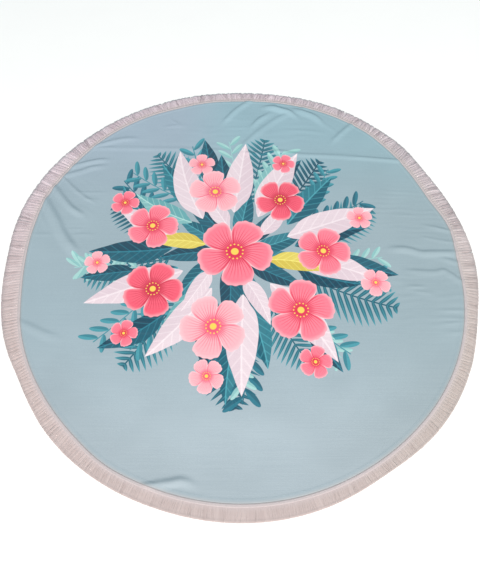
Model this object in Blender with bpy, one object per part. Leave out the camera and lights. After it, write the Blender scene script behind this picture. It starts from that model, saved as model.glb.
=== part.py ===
"""Round beach towel laid out flat: a hemmed round cloth with a cut fringe trim sewn round it.

Metres, +Z up. The towel lies on z = 0, with the origin under the middle of its outline.
"""

import math
import random
from typing import NamedTuple

import bmesh
import bpy
from mathutils import Vector
from mathutils.geometry import delaunay_2d_cdt, intersect_point_line

# The cloth and its hem
CLOTH_THICKNESS = 0.0025
HEM_WIDTH = 0.011
HEM_SWELL = 0.0010  # how much thicker the turned hem is along its middle

# The fringe trim: a flat heading tape with locks of yarn hanging from its outer edge
TAPE_WIDTH = 0.009
TAPE_THICKNESS = 0.0022
TAPE_GAP = 0.0003  # between the cloth's edge and the tape
LOCK_COUNT = 300
LOCK_LEAN = 0.0028  # how far the slow lean of the locks carries a tip sideways
LOCK_LEAN_WAVES = 23  # times that lean comes and goes round the towel
LOCK_STRAY = 0.0010  # how far one tip strays from its neighbours, each way
LOCK_SHORT = 0.05  # the most that a lock falls short of the fringe's reach, as a share
FRINGE_SEED = 5

# How the folds are laid
FOLD_STEP = 0.022  # spacing of the stations along a fold
FOLD_NEAR = 1.25  # how far a fold reaches on its near, gentler side, in half widths
FOLD_FAR = 0.75  # how far it reaches on its far, steeper side
FOLD_ROWS = (-FOLD_NEAR, -0.6, 0.0, 0.4, FOLD_FAR)  # rows of points across a fold, in half widths
FOLD_RUN_OUT = 0.065  # length over which a fold rises at each of its ends
POINT_SPACING = 0.004  # the least distance between two points of the cloth's mesh
HEM_FADE = 0.025  # width along the edge over which the hem holds the folds down
HEM_HOLD = 0.6  # share of a fold's height that is left at the cloth's edge
TAPE_HOLD = 0.2  # share of it that is left at the tape's outer edge


class EdgePoint(NamedTuple):
    """The edge at one bearing: the cloth's radius, and the fringe's reach past it."""

    bearing_deg: float
    cloth_radius: float
    fringe_reach: float


# The outline as the towel lies, anticlockwise from +X: a round cloth pulled a little out of true.
OUTLINE = tuple(
    EdgePoint(*row)
    for row in (
        (0, 0.691, 0.059),
        (10, 0.699, 0.047),
        (20, 0.684, 0.059),
        (30, 0.690, 0.052),
        (40, 0.701, 0.055),
        (50, 0.711, 0.045),
        (60, 0.711, 0.047),
        (70, 0.707, 0.044),
        (80, 0.702, 0.044),
        (90, 0.698, 0.046),
        (100, 0.701, 0.045),
        (110, 0.702, 0.051),
        (120, 0.710, 0.046),
        (130, 0.714, 0.048),
        (140, 0.712, 0.054),
        (150, 0.708, 0.064),
        (160, 0.709, 0.062),
        (170, 0.699, 0.062),
        (180, 0.690, 0.060),
        (190, 0.688, 0.062),
        (200, 0.696, 0.053),
        (210, 0.699, 0.038),
        (220, 0.699, 0.044),
        (230, 0.701, 0.048),
        (240, 0.707, 0.041),
        (250, 0.704, 0.042),
        (260, 0.703, 0.043),
        (270, 0.703, 0.044),
        (280, 0.703, 0.043),
        (290, 0.703, 0.039),
        (300, 0.703, 0.034),
        (310, 0.704, 0.039),
        (320, 0.706, 0.045),
        (330, 0.706, 0.042),
        (340, 0.703, 0.038),
        (350, 0.697, 0.044),
    )
)


class Fold(NamedTuple):
    """One soft ridge of the cloth: its height, half its width, and its route from left to right."""

    name: str
    height: float
    half_width: float
    route: tuple


FOLDS = tuple(
    Fold(*row)
    for row in (
        (
            "press crease left",
            0.0018,
            0.0130,
            ((-0.605, 0.460), (-0.370, 0.460), (-0.160, 0.455), (-0.035, 0.445)),
        ),
        (
            "press crease right",
            0.0037,
            0.0130,
            (
                (-0.015, 0.445), (0.060, 0.435), (0.140, 0.445), (0.215, 0.430),
                (0.380, 0.420), (0.630, 0.395),
            ),
        ),
        (
            "top pleat 1",
            0.0056,
            0.0160,
            ((-0.080, 0.570), (-0.050, 0.610), (-0.015, 0.655), (0.075, 0.740)),
        ),
        (
            "top pleat 2",
            0.0059,
            0.0150,
            ((0.025, 0.545), (0.060, 0.590), (0.080, 0.610), (0.125, 0.645)),
        ),
        (
            "top pleat 3",
            0.0031,
            0.0180,
            (
                (-0.015, 0.435), (0.020, 0.490), (0.075, 0.550), (0.125, 0.595),
                (0.160, 0.620), (0.300, 0.690),
            ),
        ),
        (
            "top arch 1",
            0.0110,
            0.0180,
            ((0.070, 0.665), (0.115, 0.665), (0.155, 0.650), (0.190, 0.635), (0.225, 0.600)),
        ),
        ("top arch 2", 0.0093, 0.0180, ((0.180, 0.665), (0.245, 0.635), (0.285, 0.610), (0.320, 0.565))),
        ("top pleat 4", 0.0043, 0.0150, ((0.320, 0.470), (0.365, 0.525), (0.460, 0.620))),
        ("left top pull", 0.0042, 0.0140, ((-0.595, 0.445), (-0.450, 0.500), (-0.360, 0.505))),
        ("left fan 1", 0.0045, 0.0150, ((-0.660, 0.355), (-0.525, 0.400), (-0.455, 0.405))),
        (
            "left fan 2",
            0.0035,
            0.0160,
            ((-0.680, 0.315), (-0.575, 0.350), (-0.530, 0.370), (-0.465, 0.380)),
        ),
        ("left crease", 0.0034, 0.0085, ((-0.670, 0.370), (-0.555, 0.255), (-0.475, 0.200))),
        ("left fan 3", 0.0071, 0.0180, ((-0.685, 0.330), (-0.585, 0.205), (-0.515, 0.155))),
        (
            "left trough",
            0.0088,
            0.0260,
            ((-0.705, 0.280), (-0.620, 0.150), (-0.585, 0.090), (-0.520, 0.005)),
        ),
        (
            "left pull 1",
            0.0025,
            0.0200,
            ((-0.715, -0.195), (-0.610, -0.240), (-0.575, -0.255), (-0.520, -0.270)),
        ),
        (
            "foot fold",
            0.0055,
            0.0160,
            ((-0.300, -0.670), (-0.190, -0.655), (-0.150, -0.650), (-0.100, -0.665)),
        ),
        (
            "right ridge",
            0.0045,
            0.0180,
            ((0.460, 0.035), (0.530, 0.035), (0.580, 0.020), (0.615, 0.020), (0.755, 0.020)),
        ),
        ("right ridge 2", 0.0031, 0.0140, ((0.615, 0.010), (0.660, -0.005), (0.750, -0.040))),
        (
            "right main",
            0.0028,
            0.0150,
            ((0.500, -0.045), (0.605, -0.050), (0.640, -0.045), (0.660, -0.060), (0.735, -0.125)),
        ),
        ("right wave 1", 0.0013, 0.0140, ((0.485, -0.100), (0.590, -0.100))),
        ("right wave 2", 0.0010, 0.0140, ((0.520, -0.115), (0.580, -0.120), (0.615, -0.140))),
        ("right wave 6", 0.0010, 0.0120, ((0.575, -0.255), (0.715, -0.245))),
        ("right top 1", 0.0023, 0.0120, ((0.590, 0.125), (0.645, 0.115), (0.760, 0.080))),
        ("right top 4", 0.0011, 0.0100, ((0.585, 0.080), (0.750, 0.045))),
    )
)


def eased(share):
    """A smooth rise from 0 to 1 as the share goes from 0 to 1, level at both ends."""
    share = min(max(share, 0.0), 1.0)
    return share * share * (3.0 - 2.0 * share)


def edge_at(bearing):
    """The cloth's radius and the fringe's reach at a bearing in radians, between the outline's rows."""
    pitch = math.tau / len(OUTLINE)
    place = (bearing % math.tau) / pitch
    row = int(place)
    t = place - row
    before, start, end, after = (OUTLINE[(row + step) % len(OUTLINE)] for step in (-1, 0, 1, 2))

    def between(a, b, c, d):
        return b + 0.5 * t * (c - a + t * (2 * a - 5 * b + 4 * c - d + t * (3 * (b - c) + d - a)))

    return tuple(between(before[column], start[column], end[column], after[column]) for column in (1, 2))


def along_edge(bearing, inset):
    """The point that lies the inset inside the cloth's edge at a bearing, or outside if it is negative."""
    radius = edge_at(bearing)[0] - inset
    return Vector((radius * math.cos(bearing), radius * math.sin(bearing)))


def inset_of(point):
    """How far inside the cloth's edge a point lies."""
    return edge_at(math.atan2(point.y, point.x))[0] - point.length


def stations(fold):
    """Points along a fold's route at even steps, each with the direction of its stretch."""
    route = [Vector(corner) for corner in fold.route]
    found = []
    for start, end in zip(route, route[1:]):
        count = max(2, round((end - start).length / FOLD_STEP))
        direction = (end - start).normalized()
        found += [(start.lerp(end, step / count), direction) for step in range(count)]
    found.append((route[-1], direction))
    return found


def fold_height(fold, point):
    """How high one fold lifts the cloth at a point."""
    route = [Vector(corner) for corner in fold.route]
    lengths = [(end - start).length for start, end in zip(route, route[1:])]
    total = sum(lengths)
    highest = 0.0
    done = 0.0
    for start, end, length in zip(route, route[1:], lengths):
        _, share = intersect_point_line(point, start, end)
        share = min(max(share, 0.0), 1.0)
        far_side = (end - start).cross(point - start) > 0.0
        reach = fold.half_width * (FOLD_FAR if far_side else FOLD_NEAR)
        away = (start.lerp(end, share) - point).length / reach
        if away < 1.0:
            run = done + share * length
            rise = eased(min(run, total - run) / min(FOLD_RUN_OUT, 0.45 * total))
            highest = max(highest, fold.height * rise * math.cos(0.5 * math.pi * away) ** 2)
        done += length
    return highest


def lift(point):
    """How high the cloth's underside stands off the floor at a point."""
    height = max(fold_height(fold, point) for fold in FOLDS)
    held = HEM_HOLD + (1.0 - HEM_HOLD) * eased(inset_of(point) / HEM_FADE)
    return height * held


def add_point(bm, point, height, thickness):
    """Adds a point of a sheet's underside, which keeps the sheet's thickness there."""
    vert = bm.verts.new((*point, height))
    vert[bm.verts.layers.float["thickness"]] = thickness
    return vert


def cloth_thickness(point):
    """The cloth's thickness at a point, with the swell of the hem along its edge."""
    across = min(max(inset_of(point) / HEM_WIDTH, 0.0), 1.0)
    return CLOTH_THICKNESS + HEM_SWELL * math.sin(math.pi * across)


def fold_points():
    """Points in rows along every fold, inside the hem and no closer to each other than the spacing."""
    points = []
    for fold in FOLDS:
        for centre, direction in stations(fold):
            side = Vector((-direction.y, direction.x)) * fold.half_width
            for row in FOLD_ROWS:
                point = centre + side * row
                inside = inset_of(point) > HEM_WIDTH + POINT_SPACING
                if inside and all((point - other).length > POINT_SPACING for other in points):
                    points.append(point)
    return points


def cloth_plan():
    """The cloth's plan: its points and triangles, with the hem's lines and the folds' rows in it."""
    bearings = [math.tau * step / LOCK_COUNT for step in range(LOCK_COUNT)]
    rim = [along_edge(bearing, 0.0) for bearing in bearings]
    hem_crest = [along_edge(bearing, HEM_WIDTH / 2) for bearing in bearings[::2]]
    hem_foot = [along_edge(bearing, HEM_WIDTH) for bearing in bearings[::2]]
    points = rim + hem_crest + hem_foot + fold_points()
    edges = [(step, (step + 1) % LOCK_COUNT) for step in range(LOCK_COUNT)]
    inside_only = 1
    plan = delaunay_2d_cdt(points, edges, [], inside_only, 1e-6)
    return plan[0], plan[2]


def finish(bm, name, material):
    """Turns a bmesh into a named object with its material, its faces pointing out."""
    bmesh.ops.recalc_face_normals(bm, faces=bm.faces)
    mesh = bpy.data.meshes.new(name)
    bm.to_mesh(mesh)
    bm.free()
    mesh.shade_smooth()
    mesh.set_sharp_from_angle(angle=math.radians(40))
    mesh.materials.append(material)
    piece = bpy.data.objects.new(name, mesh)
    bpy.context.collection.objects.link(piece)
    return piece


def new_sheet():
    """An empty bmesh whose points keep the sheet's thickness."""
    bm = bmesh.new()
    bm.verts.layers.float.new("thickness")
    return bm


def thicken(bm):
    """Makes a sheet solid: a copy raised by its thickness at each point, and walls round the edge."""
    thickness = bm.verts.layers.float["thickness"]
    made = bmesh.ops.extrude_face_region(bm, geom=bm.faces[:])
    for vert in made["geom"]:
        if isinstance(vert, bmesh.types.BMVert):
            vert.co.z += vert[thickness]
    bm.verts.layers.float.remove(thickness)


def make_cloth(material):
    """The round cloth as one sheet, hem and folds included."""
    points, triangles = cloth_plan()
    bm = new_sheet()
    verts = [add_point(bm, point, lift(point), cloth_thickness(point)) for point in points]
    for corners in triangles:
        bm.faces.new([verts[corner] for corner in corners])
    thicken(bm)
    return finish(bm, "towel_cloth", material)


class LockRow(NamedTuple):
    """One row across a lock: its place along it, its shares of pitch and lean, and its thickness."""

    along: float
    pitch_share: float
    lean_share: float
    thickness: float


LOCK_ROWS = (
    LockRow(0.00, 0.86, 0.00, TAPE_THICKNESS),
    LockRow(0.45, 0.84, 0.30, 0.0036),
    LockRow(1.00, 0.74, 1.00, 0.0026),
)


class Lock(NamedTuple):
    """One lock of the fringe: the bearing of its middle, its length and how far its tip leans sideways."""

    bearing: float
    length: float
    lean: float


def fringe_locks():
    """The locks all the way round, a little uneven in length and lean."""
    rng = random.Random(FRINGE_SEED)
    locks = []
    for step in range(LOCK_COUNT):
        bearing = math.tau * (step + 0.5) / LOCK_COUNT
        reach = edge_at(bearing)[1] - TAPE_GAP - TAPE_WIDTH
        length = reach * (1.0 - rng.uniform(0.0, LOCK_SHORT))
        lean = LOCK_LEAN * math.sin(LOCK_LEAN_WAVES * bearing) + rng.uniform(-LOCK_STRAY, LOCK_STRAY)
        locks.append(Lock(bearing, length, lean))
    return locks


def add_lock(bm, lock, pitch):
    """Adds one lock's plan to the fringe, and returns the two corners of its root."""
    outward = Vector((math.cos(lock.bearing), math.sin(lock.bearing)))
    sideways = Vector((-outward.y, outward.x))
    root = along_edge(lock.bearing, -TAPE_GAP - TAPE_WIDTH)
    root_height = TAPE_HOLD * lift(along_edge(lock.bearing, 0.0))
    pairs = []
    for row in LOCK_ROWS:
        middle = root + outward * (lock.length * row.along) + sideways * (lock.lean * row.lean_share)
        half = sideways * (0.5 * row.pitch_share * pitch * root.length)
        height = root_height * (1.0 - row.along)
        pairs.append([add_point(bm, middle + side * half, height, row.thickness) for side in (-1, 1)])
    for (start, end), (next_start, next_end) in zip(pairs, pairs[1:]):
        bm.faces.new((start, next_start, next_end, end))
    return pairs[0]


def make_fringe(material):
    """The fringe trim as one body: a flat tape round the cloth, and the locks fused to its outer edge."""
    pitch = math.tau / LOCK_COUNT
    bm = new_sheet()
    inner = []
    for step in range(LOCK_COUNT):
        place = along_edge(step * pitch, -TAPE_GAP)
        inner.append(add_point(bm, place, lift(along_edge(step * pitch, 0.0)), TAPE_THICKNESS))
    roots = [add_lock(bm, lock, pitch) for lock in fringe_locks()]
    for step, (start, end) in enumerate(roots):
        following = (step + 1) % LOCK_COUNT
        bm.faces.new((inner[step], start, end, inner[following]))
        bm.faces.new((inner[following], end, roots[following][0]))
    thicken(bm)
    return finish(bm, "fringe_trim", material)


def make_material(name, colour, roughness):
    """A plain Principled finish."""
    material = bpy.data.materials.new(name)
    material.use_nodes = True
    shader = material.node_tree.nodes["Principled BSDF"]
    shader.inputs["Base Color"].default_value = (*colour, 1.0)
    shader.inputs["Roughness"].default_value = roughness
    shader.inputs["Metallic"].default_value = 0.0
    material.diffuse_color = (*colour, 1.0)
    return material


def main():
    """Clears the scene and makes the towel's two pieces."""
    for old in list(bpy.data.objects):
        bpy.data.objects.remove(old)
    make_cloth(make_material("aqua cotton", (0.42, 0.56, 0.62), 0.9))
    make_fringe(make_material("pale pink cotton yarn", (0.68, 0.58, 0.60), 0.95))


main()
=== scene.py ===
"""How a round beach towel looks, laid out flat: printed cloth, hem, heading tape and cotton fringe.

Metres, +Z up. The towel lies on z = 0 with its print upwards, and its outline is the frame's.
"""

import logging
import math
import random
from collections.abc import Callable, Iterable, Sequence
from dataclasses import dataclass, field
from enum import Enum
from functools import reduce

import bmesh
import bpy
import numpy as np
from mathutils import Euler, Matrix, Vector, noise


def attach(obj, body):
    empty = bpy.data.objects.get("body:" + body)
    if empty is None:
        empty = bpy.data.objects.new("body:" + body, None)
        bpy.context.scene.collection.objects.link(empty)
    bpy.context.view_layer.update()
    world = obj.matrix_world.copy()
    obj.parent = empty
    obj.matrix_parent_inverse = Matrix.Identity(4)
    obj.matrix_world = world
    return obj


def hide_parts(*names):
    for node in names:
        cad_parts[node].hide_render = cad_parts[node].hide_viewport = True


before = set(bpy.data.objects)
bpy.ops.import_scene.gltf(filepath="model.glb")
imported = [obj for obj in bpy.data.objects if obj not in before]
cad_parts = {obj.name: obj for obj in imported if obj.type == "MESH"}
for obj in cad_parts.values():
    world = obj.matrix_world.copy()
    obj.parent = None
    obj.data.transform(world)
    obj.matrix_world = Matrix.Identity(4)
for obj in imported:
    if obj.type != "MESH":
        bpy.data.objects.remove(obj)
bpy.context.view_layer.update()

log = logging.getLogger("towel")

CLOTH_NODE = "towel_cloth"
FRINGE_NODE = "fringe_trim"
BODY = "root"

Socket = bpy.types.NodeSocket
Value = float | Socket
Colour = tuple[float, float, float]
Span = tuple[float, float]


def srgb(red: int, green: int, blue: int) -> Colour:
    """Turns a colour as a screen shows it into the linear light that a shader takes.

    Args:
        red: Red, from 0 to 255.
        green: Green, from 0 to 255.
        blue: Blue, from 0 to 255.

    Returns:
        The linear colour.
    """
    shares = (channel / 255 for channel in (red, green, blue))
    return tuple(s / 12.92 if s <= 0.04045 else ((s + 0.055) / 1.055) ** 2.4 for s in shares)


def eased(share: np.ndarray) -> np.ndarray:
    """A smooth rise from 0 to 1 as the share goes from 0 to 1, level at both ends."""
    share = np.clip(share, 0.0, 1.0)
    return share * share * (3.0 - 2.0 * share)


def points_of(mesh: bpy.types.Mesh) -> np.ndarray:
    """The places of a mesh's points, one a row."""
    spots = np.empty(len(mesh.vertices) * 3)
    mesh.vertices.foreach_get("co", spots)
    return spots.reshape(-1, 3)


def mesh_of(name: str, bm: bmesh.types.BMesh) -> bpy.types.Mesh:
    """Turns a finished bmesh into a smooth mesh and lets the bmesh go.

    Args:
        name: The mesh's name.
        bm: The bmesh.

    Returns:
        The mesh.
    """
    mesh = bpy.data.meshes.new(name)
    bm.to_mesh(mesh)
    bm.free()
    mesh.shade_smooth()
    return mesh


def write_on(mesh: bpy.types.Mesh, name: str, values: np.ndarray) -> None:
    """Writes an attribute on a mesh: one number a point, or one vector a face's corner.

    Args:
        mesh: The mesh.
        name: The attribute's name.
        values: The numbers, or the vectors one a row.
    """
    if values.ndim == 1:
        kind, domain, part = "FLOAT", "POINT", "value"
    else:
        kind, domain, part = "FLOAT_VECTOR", "CORNER", "vector"
    data = mesh.attributes.new(name, kind, domain).data
    data.foreach_set(part, values.astype(np.float32).ravel())


# ---------------------------------------------------------------- the towel's shape


@dataclass(frozen=True)
class TowelOutline:
    """The cloth's edge and the fringe's reach by bearing, read from the frame's solids.

    Attributes:
        bearings: The bearings at which both lines are known, in radians.
        cloth: The cloth's radius at each bearing.
        fringe: The radius that the fringe's tips reach at each bearing.
    """

    bearings: np.ndarray
    cloth: np.ndarray
    fringe: np.ndarray

    @classmethod
    def from_frame(cls, steps: int = 300) -> "TowelOutline":
        """Reads both lines.

        Args:
            steps: How many bearings to read. The cloth's solid has a corner at each of 300.

        Returns:
            The outline.
        """
        reach = cls.furthest(FRINGE_NODE, steps)
        around = np.stack([np.roll(reach, shift) for shift in range(-2, 3)])
        level = np.stack([np.roll(around.max(axis=0), shift) for shift in range(-3, 4)]).mean(axis=0)
        bearings = np.arange(steps) * math.tau / steps
        return cls(bearings, cls.furthest(CLOTH_NODE, steps), level)

    @staticmethod
    def furthest(node: str, steps: int) -> np.ndarray:
        """The largest radius of a node's corners near each bearing.

        Args:
            node: The node's name.
            steps: How many bearings to look at.

        Returns:
            One radius for each bearing.
        """
        x, y = points_of(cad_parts[node].data)[:, :2].T
        nearest = np.round(np.arctan2(y, x) / math.tau * steps).astype(int) % steps
        radii = np.zeros(steps)
        np.maximum.at(radii, nearest, np.hypot(x, y))
        return radii

    def cloth_radius(self, bearing: np.ndarray) -> np.ndarray:
        """The cloth's radius at each bearing in radians."""
        return np.interp(bearing, self.bearings, self.cloth, period=math.tau)

    def fringe_radius(self, bearing: np.ndarray) -> np.ndarray:
        """The radius that the fringe reaches at each bearing in radians."""
        return np.interp(bearing, self.bearings, self.fringe, period=math.tau)


@dataclass(frozen=True)
class Fold:
    """One soft ridge of the cloth, steeper on its far side.

    Attributes:
        height: Its height where it is fully risen.
        half_width: Half its width at its foot.
        route: The points that its crest runs through, from left to right.
    """

    height: float
    half_width: float
    route: tuple[tuple[float, float], ...]

    FAR_SHARE = 0.75  # the far side's share of the half width
    NEAR_SHARE = 1.25  # the near side's
    LONGEST_RUN_OUT = 0.45  # the most of a short fold's length that either end may rise over

    def crest(self, steps: int = 6) -> np.ndarray:
        """The crest as a smooth line through the route's points.

        Args:
            steps: How many short stretches to lay between two points of the route.

        Returns:
            The line's points, one a row.
        """
        route = np.array(self.route)
        if len(route) == 2:
            return np.linspace(route[0], route[1], steps + 1)
        ends = np.vstack([2 * route[0] - route[1], route, 2 * route[-1] - route[-2]])
        line = []
        for before, start, end, after in zip(ends, ends[1:], ends[2:], ends[3:]):
            for share in np.arange(steps) / steps:
                twist = 3 * (start - end) + after - before
                turn = 2 * before - 5 * start + 4 * end - after + share * twist
                line.append(start + 0.5 * share * (end - before + share * turn))
        return np.array([*line, route[-1]])

    def rise(self, places: np.ndarray, run_out: float) -> np.ndarray:
        """How high this fold lifts the cloth.

        Args:
            places: The points to look at, one a row.
            run_out: The length over which the fold rises at each of its ends.

        Returns:
            One height for each place.
        """
        heights = np.zeros(len(places))
        crest = self.crest()
        widest = self.NEAR_SHARE * self.half_width
        low, high = crest.min(axis=0) - widest, crest.max(axis=0) + widest
        near = np.flatnonzero(((places > low) & (places < high)).all(axis=1))
        spots = places[near]
        lengths = np.linalg.norm(np.diff(crest, axis=0), axis=1)
        total = lengths.sum()
        done = 0.0
        best = np.zeros(len(near))
        for start, end, length in zip(crest, crest[1:], lengths):
            share = np.clip((spots - start) @ (end - start) / length**2, 0.0, 1.0)
            away = np.linalg.norm(start + share[:, None] * (end - start) - spots, axis=1)
            left_by = (end - start)[0] * (spots - start)[:, 1] - (end - start)[1] * (spots - start)[:, 0]
            width = self.half_width * np.where(left_by > 0.0, self.FAR_SHARE, self.NEAR_SHARE)
            run = done + share * length
            risen = eased(np.minimum(run, total - run) / min(run_out, self.LONGEST_RUN_OUT * total))
            across = np.cos(0.5 * math.pi * np.clip(away / width, 0.0, 1.0)) ** 2
            best = np.maximum(best, risen * across)
            done += length
        heights[near] = self.height * best
        return heights


@dataclass(frozen=True)
class WrinklePatch:
    """A patch of fine wrinkles in loose clumps that fades out at its rim.

    Attributes:
        height: The wrinkles' height at the patch's middle.
        pitch: The distance from one wrinkle to the next.
        bearing_deg: The way the wrinkles run.
        middle: The patch's middle.
        half_size: Half its length along the wrinkles, and half its width across them.
    """

    height: float
    pitch: float
    bearing_deg: float
    middle: tuple[float, float]
    half_size: tuple[float, float]

    # How the lines wander: by what share of the pitch, and how fast along and across them.
    WANDER = ((0.16, 27.0, 12.0), (0.10, 61.0, -23.0))
    CLUMPS = ((15.0, 34.0), (9.0, -52.0))  # how fast the clumps come and go, along and across
    BETWEEN_CLUMPS = 0.2  # the share of the height that is left between clumps

    def rise(self, places: np.ndarray) -> np.ndarray:
        """How high the wrinkles lift the cloth at each of the places."""
        turn = math.radians(self.bearing_deg)
        away = places - self.middle
        along = away @ (math.cos(turn), math.sin(turn))
        across = away @ (-math.sin(turn), math.cos(turn))
        inside = 1.0 - np.hypot(along / self.half_size[0], across / self.half_size[1])
        wander = sum(share * np.sin(along * a + across * b) for share, a, b in self.WANDER)
        wave = 0.5 + 0.5 * np.sin(math.tau * (across / self.pitch + wander))
        slow, fast = (np.sin(along * a + across * b) for a, b in self.CLUMPS)
        clumps = self.BETWEEN_CLUMPS + (1.0 - self.BETWEEN_CLUMPS) * eased(0.5 + 0.8 * slow * fast)
        return self.height * eased(2.0 * inside) * wave * clumps


@dataclass(frozen=True)
class LaidShape:
    """The height of the laid cloth's underside over the floor.

    Attributes:
        outline: The towel's outline.
        run_out: The length over which a fold rises at each of its ends.
        hem_fade: The width along the edge over which the hem holds the folds down.
        hem_hold: The share of a fold's height that is left at the edge.
        swell: The height of the slack swells between the folds.
        swell_size: The size of those swells.
        swell_spread: How far the swells spread past half of the cloth, from 0 to 1.
        fall: The share of the cloth's lift that its trim loses in each metre outwards.
    """

    outline: TowelOutline
    run_out: float = 0.065
    hem_fade: float = 0.025
    hem_hold: float = 0.6
    swell: float = 0.0016
    swell_size: float = 0.11
    swell_spread: float = 0.15
    fall: float = 80.0

    FOLDS = (
        # the two press lines across the far side
        Fold(0.0018, 0.0130, ((-0.605, 0.460), (-0.370, 0.460), (-0.160, 0.455), (-0.035, 0.445))),
        Fold(0.0037, 0.0130, (
            (-0.015, 0.445), (0.060, 0.435), (0.140, 0.445),
            (0.215, 0.430), (0.380, 0.420), (0.630, 0.395),
        )),
        # pleats and arches at the far side
        Fold(0.0056, 0.0160, ((-0.080, 0.570), (-0.050, 0.610), (-0.015, 0.655), (0.075, 0.740))),
        Fold(0.0059, 0.0150, ((0.025, 0.545), (0.060, 0.590), (0.080, 0.610), (0.125, 0.645))),
        Fold(0.0031, 0.0180, (
            (-0.015, 0.435), (0.020, 0.490), (0.075, 0.550),
            (0.125, 0.595), (0.160, 0.620), (0.300, 0.690),
        )),
        Fold(0.0110, 0.0180, (
            (0.070, 0.665), (0.115, 0.665), (0.155, 0.650), (0.190, 0.635), (0.225, 0.600),
        )),
        Fold(0.0093, 0.0180, ((0.180, 0.665), (0.245, 0.635), (0.285, 0.610), (0.320, 0.565))),
        Fold(0.0043, 0.0150, ((0.320, 0.470), (0.365, 0.525), (0.460, 0.620))),
        # the fan on the left
        Fold(0.0042, 0.0140, ((-0.595, 0.445), (-0.450, 0.500), (-0.360, 0.505))),
        Fold(0.0045, 0.0150, ((-0.660, 0.355), (-0.525, 0.400), (-0.455, 0.405))),
        Fold(0.0035, 0.0160, ((-0.680, 0.315), (-0.575, 0.350), (-0.530, 0.370), (-0.465, 0.380))),
        Fold(0.0034, 0.0085, ((-0.670, 0.370), (-0.555, 0.255), (-0.475, 0.200))),
        Fold(0.0071, 0.0180, ((-0.685, 0.330), (-0.585, 0.205), (-0.515, 0.155))),
        Fold(0.0088, 0.0260, ((-0.705, 0.280), (-0.620, 0.150), (-0.585, 0.090), (-0.520, 0.005))),
        # the near left
        Fold(0.0025, 0.0200, ((-0.715, -0.195), (-0.610, -0.240), (-0.575, -0.255), (-0.520, -0.270))),
        # the near side
        Fold(0.0055, 0.0160, ((-0.300, -0.670), (-0.190, -0.655), (-0.150, -0.650), (-0.100, -0.665))),
        # the right side
        Fold(0.0045, 0.0180, (
            (0.460, 0.035), (0.530, 0.035), (0.580, 0.020), (0.615, 0.020), (0.755, 0.020),
        )),
        Fold(0.0031, 0.0140, ((0.615, 0.010), (0.660, -0.005), (0.750, -0.040))),
        Fold(0.0028, 0.0150, (
            (0.500, -0.045), (0.605, -0.050), (0.640, -0.045), (0.660, -0.060), (0.735, -0.125),
        )),
        Fold(0.0013, 0.0140, ((0.485, -0.100), (0.590, -0.100))),
        Fold(0.0010, 0.0140, ((0.520, -0.115), (0.580, -0.120), (0.615, -0.140))),
        Fold(0.0010, 0.0120, ((0.575, -0.255), (0.715, -0.245))),
        # the right side, further back
        Fold(0.0023, 0.0120, ((0.590, 0.125), (0.645, 0.115), (0.760, 0.080))),
        Fold(0.0011, 0.0100, ((0.585, 0.080), (0.750, 0.045))),
    )
    # Fine creases that lie over the folds.
    CREASES = (
        # the far side
        Fold(0.0012, 0.0100, ((-0.085, 0.560), (0.000, 0.560), (0.060, 0.560))),
        Fold(0.0011, 0.0110, ((0.125, 0.550), (0.250, 0.545), (0.340, 0.525))),
        Fold(0.0013, 0.0130, ((0.290, 0.590), (0.330, 0.565), (0.370, 0.520))),
        # a pinched spot above the left press line
        Fold(0.0018, 0.0090, ((-0.275, 0.615), (-0.245, 0.585), (-0.210, 0.565))),
        Fold(0.0018, 0.0080, ((-0.305, 0.560), (-0.255, 0.570), (-0.195, 0.570))),
        # the fan on the left
        Fold(0.0010, 0.0090, ((-0.605, 0.265), (-0.545, 0.260), (-0.440, 0.260))),
        Fold(0.0008, 0.0090, ((-0.555, 0.230), (-0.510, 0.230), (-0.465, 0.220))),
        Fold(0.0024, 0.0130, ((-0.705, 0.235), (-0.660, 0.140), (-0.640, 0.100))),
        Fold(0.0009, 0.0100, ((-0.710, 0.090), (-0.650, 0.090), (-0.605, 0.090))),
        Fold(0.0008, 0.0090, ((-0.595, 0.110), (-0.550, 0.110), (-0.505, 0.110))),
        Fold(0.0010, 0.0100, ((-0.575, 0.085), (-0.520, 0.090), (-0.465, 0.085))),
        # the right side, from back to front
        Fold(0.0009, 0.0070, ((0.490, 0.165), (0.555, 0.165), (0.610, 0.160))),
        Fold(0.0012, 0.0070, ((0.595, 0.125), (0.650, 0.115), (0.755, 0.085))),
        Fold(0.0009, 0.0070, ((0.580, 0.085), (0.645, 0.065))),
        Fold(0.0009, 0.0070, ((0.640, 0.065), (0.750, 0.055))),
        Fold(0.0013, 0.0080, ((0.610, -0.035), (0.655, -0.050), (0.735, -0.125))),
        Fold(0.0008, 0.0070, ((0.505, -0.100), (0.545, -0.100), (0.585, -0.105))),
        Fold(0.0010, 0.0070, ((0.515, -0.115), (0.560, -0.120), (0.600, -0.130))),
        Fold(0.0014, 0.0080, ((0.575, -0.180), (0.630, -0.180), (0.735, -0.180))),
        Fold(0.0009, 0.0080, ((0.580, -0.205), (0.730, -0.210))),
        Fold(0.0013, 0.0080, ((0.575, -0.220), (0.625, -0.220), (0.725, -0.215))),
    )
    WRINKLES = (
        WrinklePatch(0.0006, 0.019, -1.0, (0.57, 0.18), (0.16, 0.14)),
        WrinklePatch(0.0006, 0.024, 2.0, (0.58, -0.14), (0.16, 0.15)),
        WrinklePatch(0.0006, 0.026, -38.0, (-0.56, 0.24), (0.12, 0.10)),
        WrinklePatch(0.0005, 0.030, 0.0, (0.05, 0.53), (0.42, 0.12)),
    )

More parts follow.
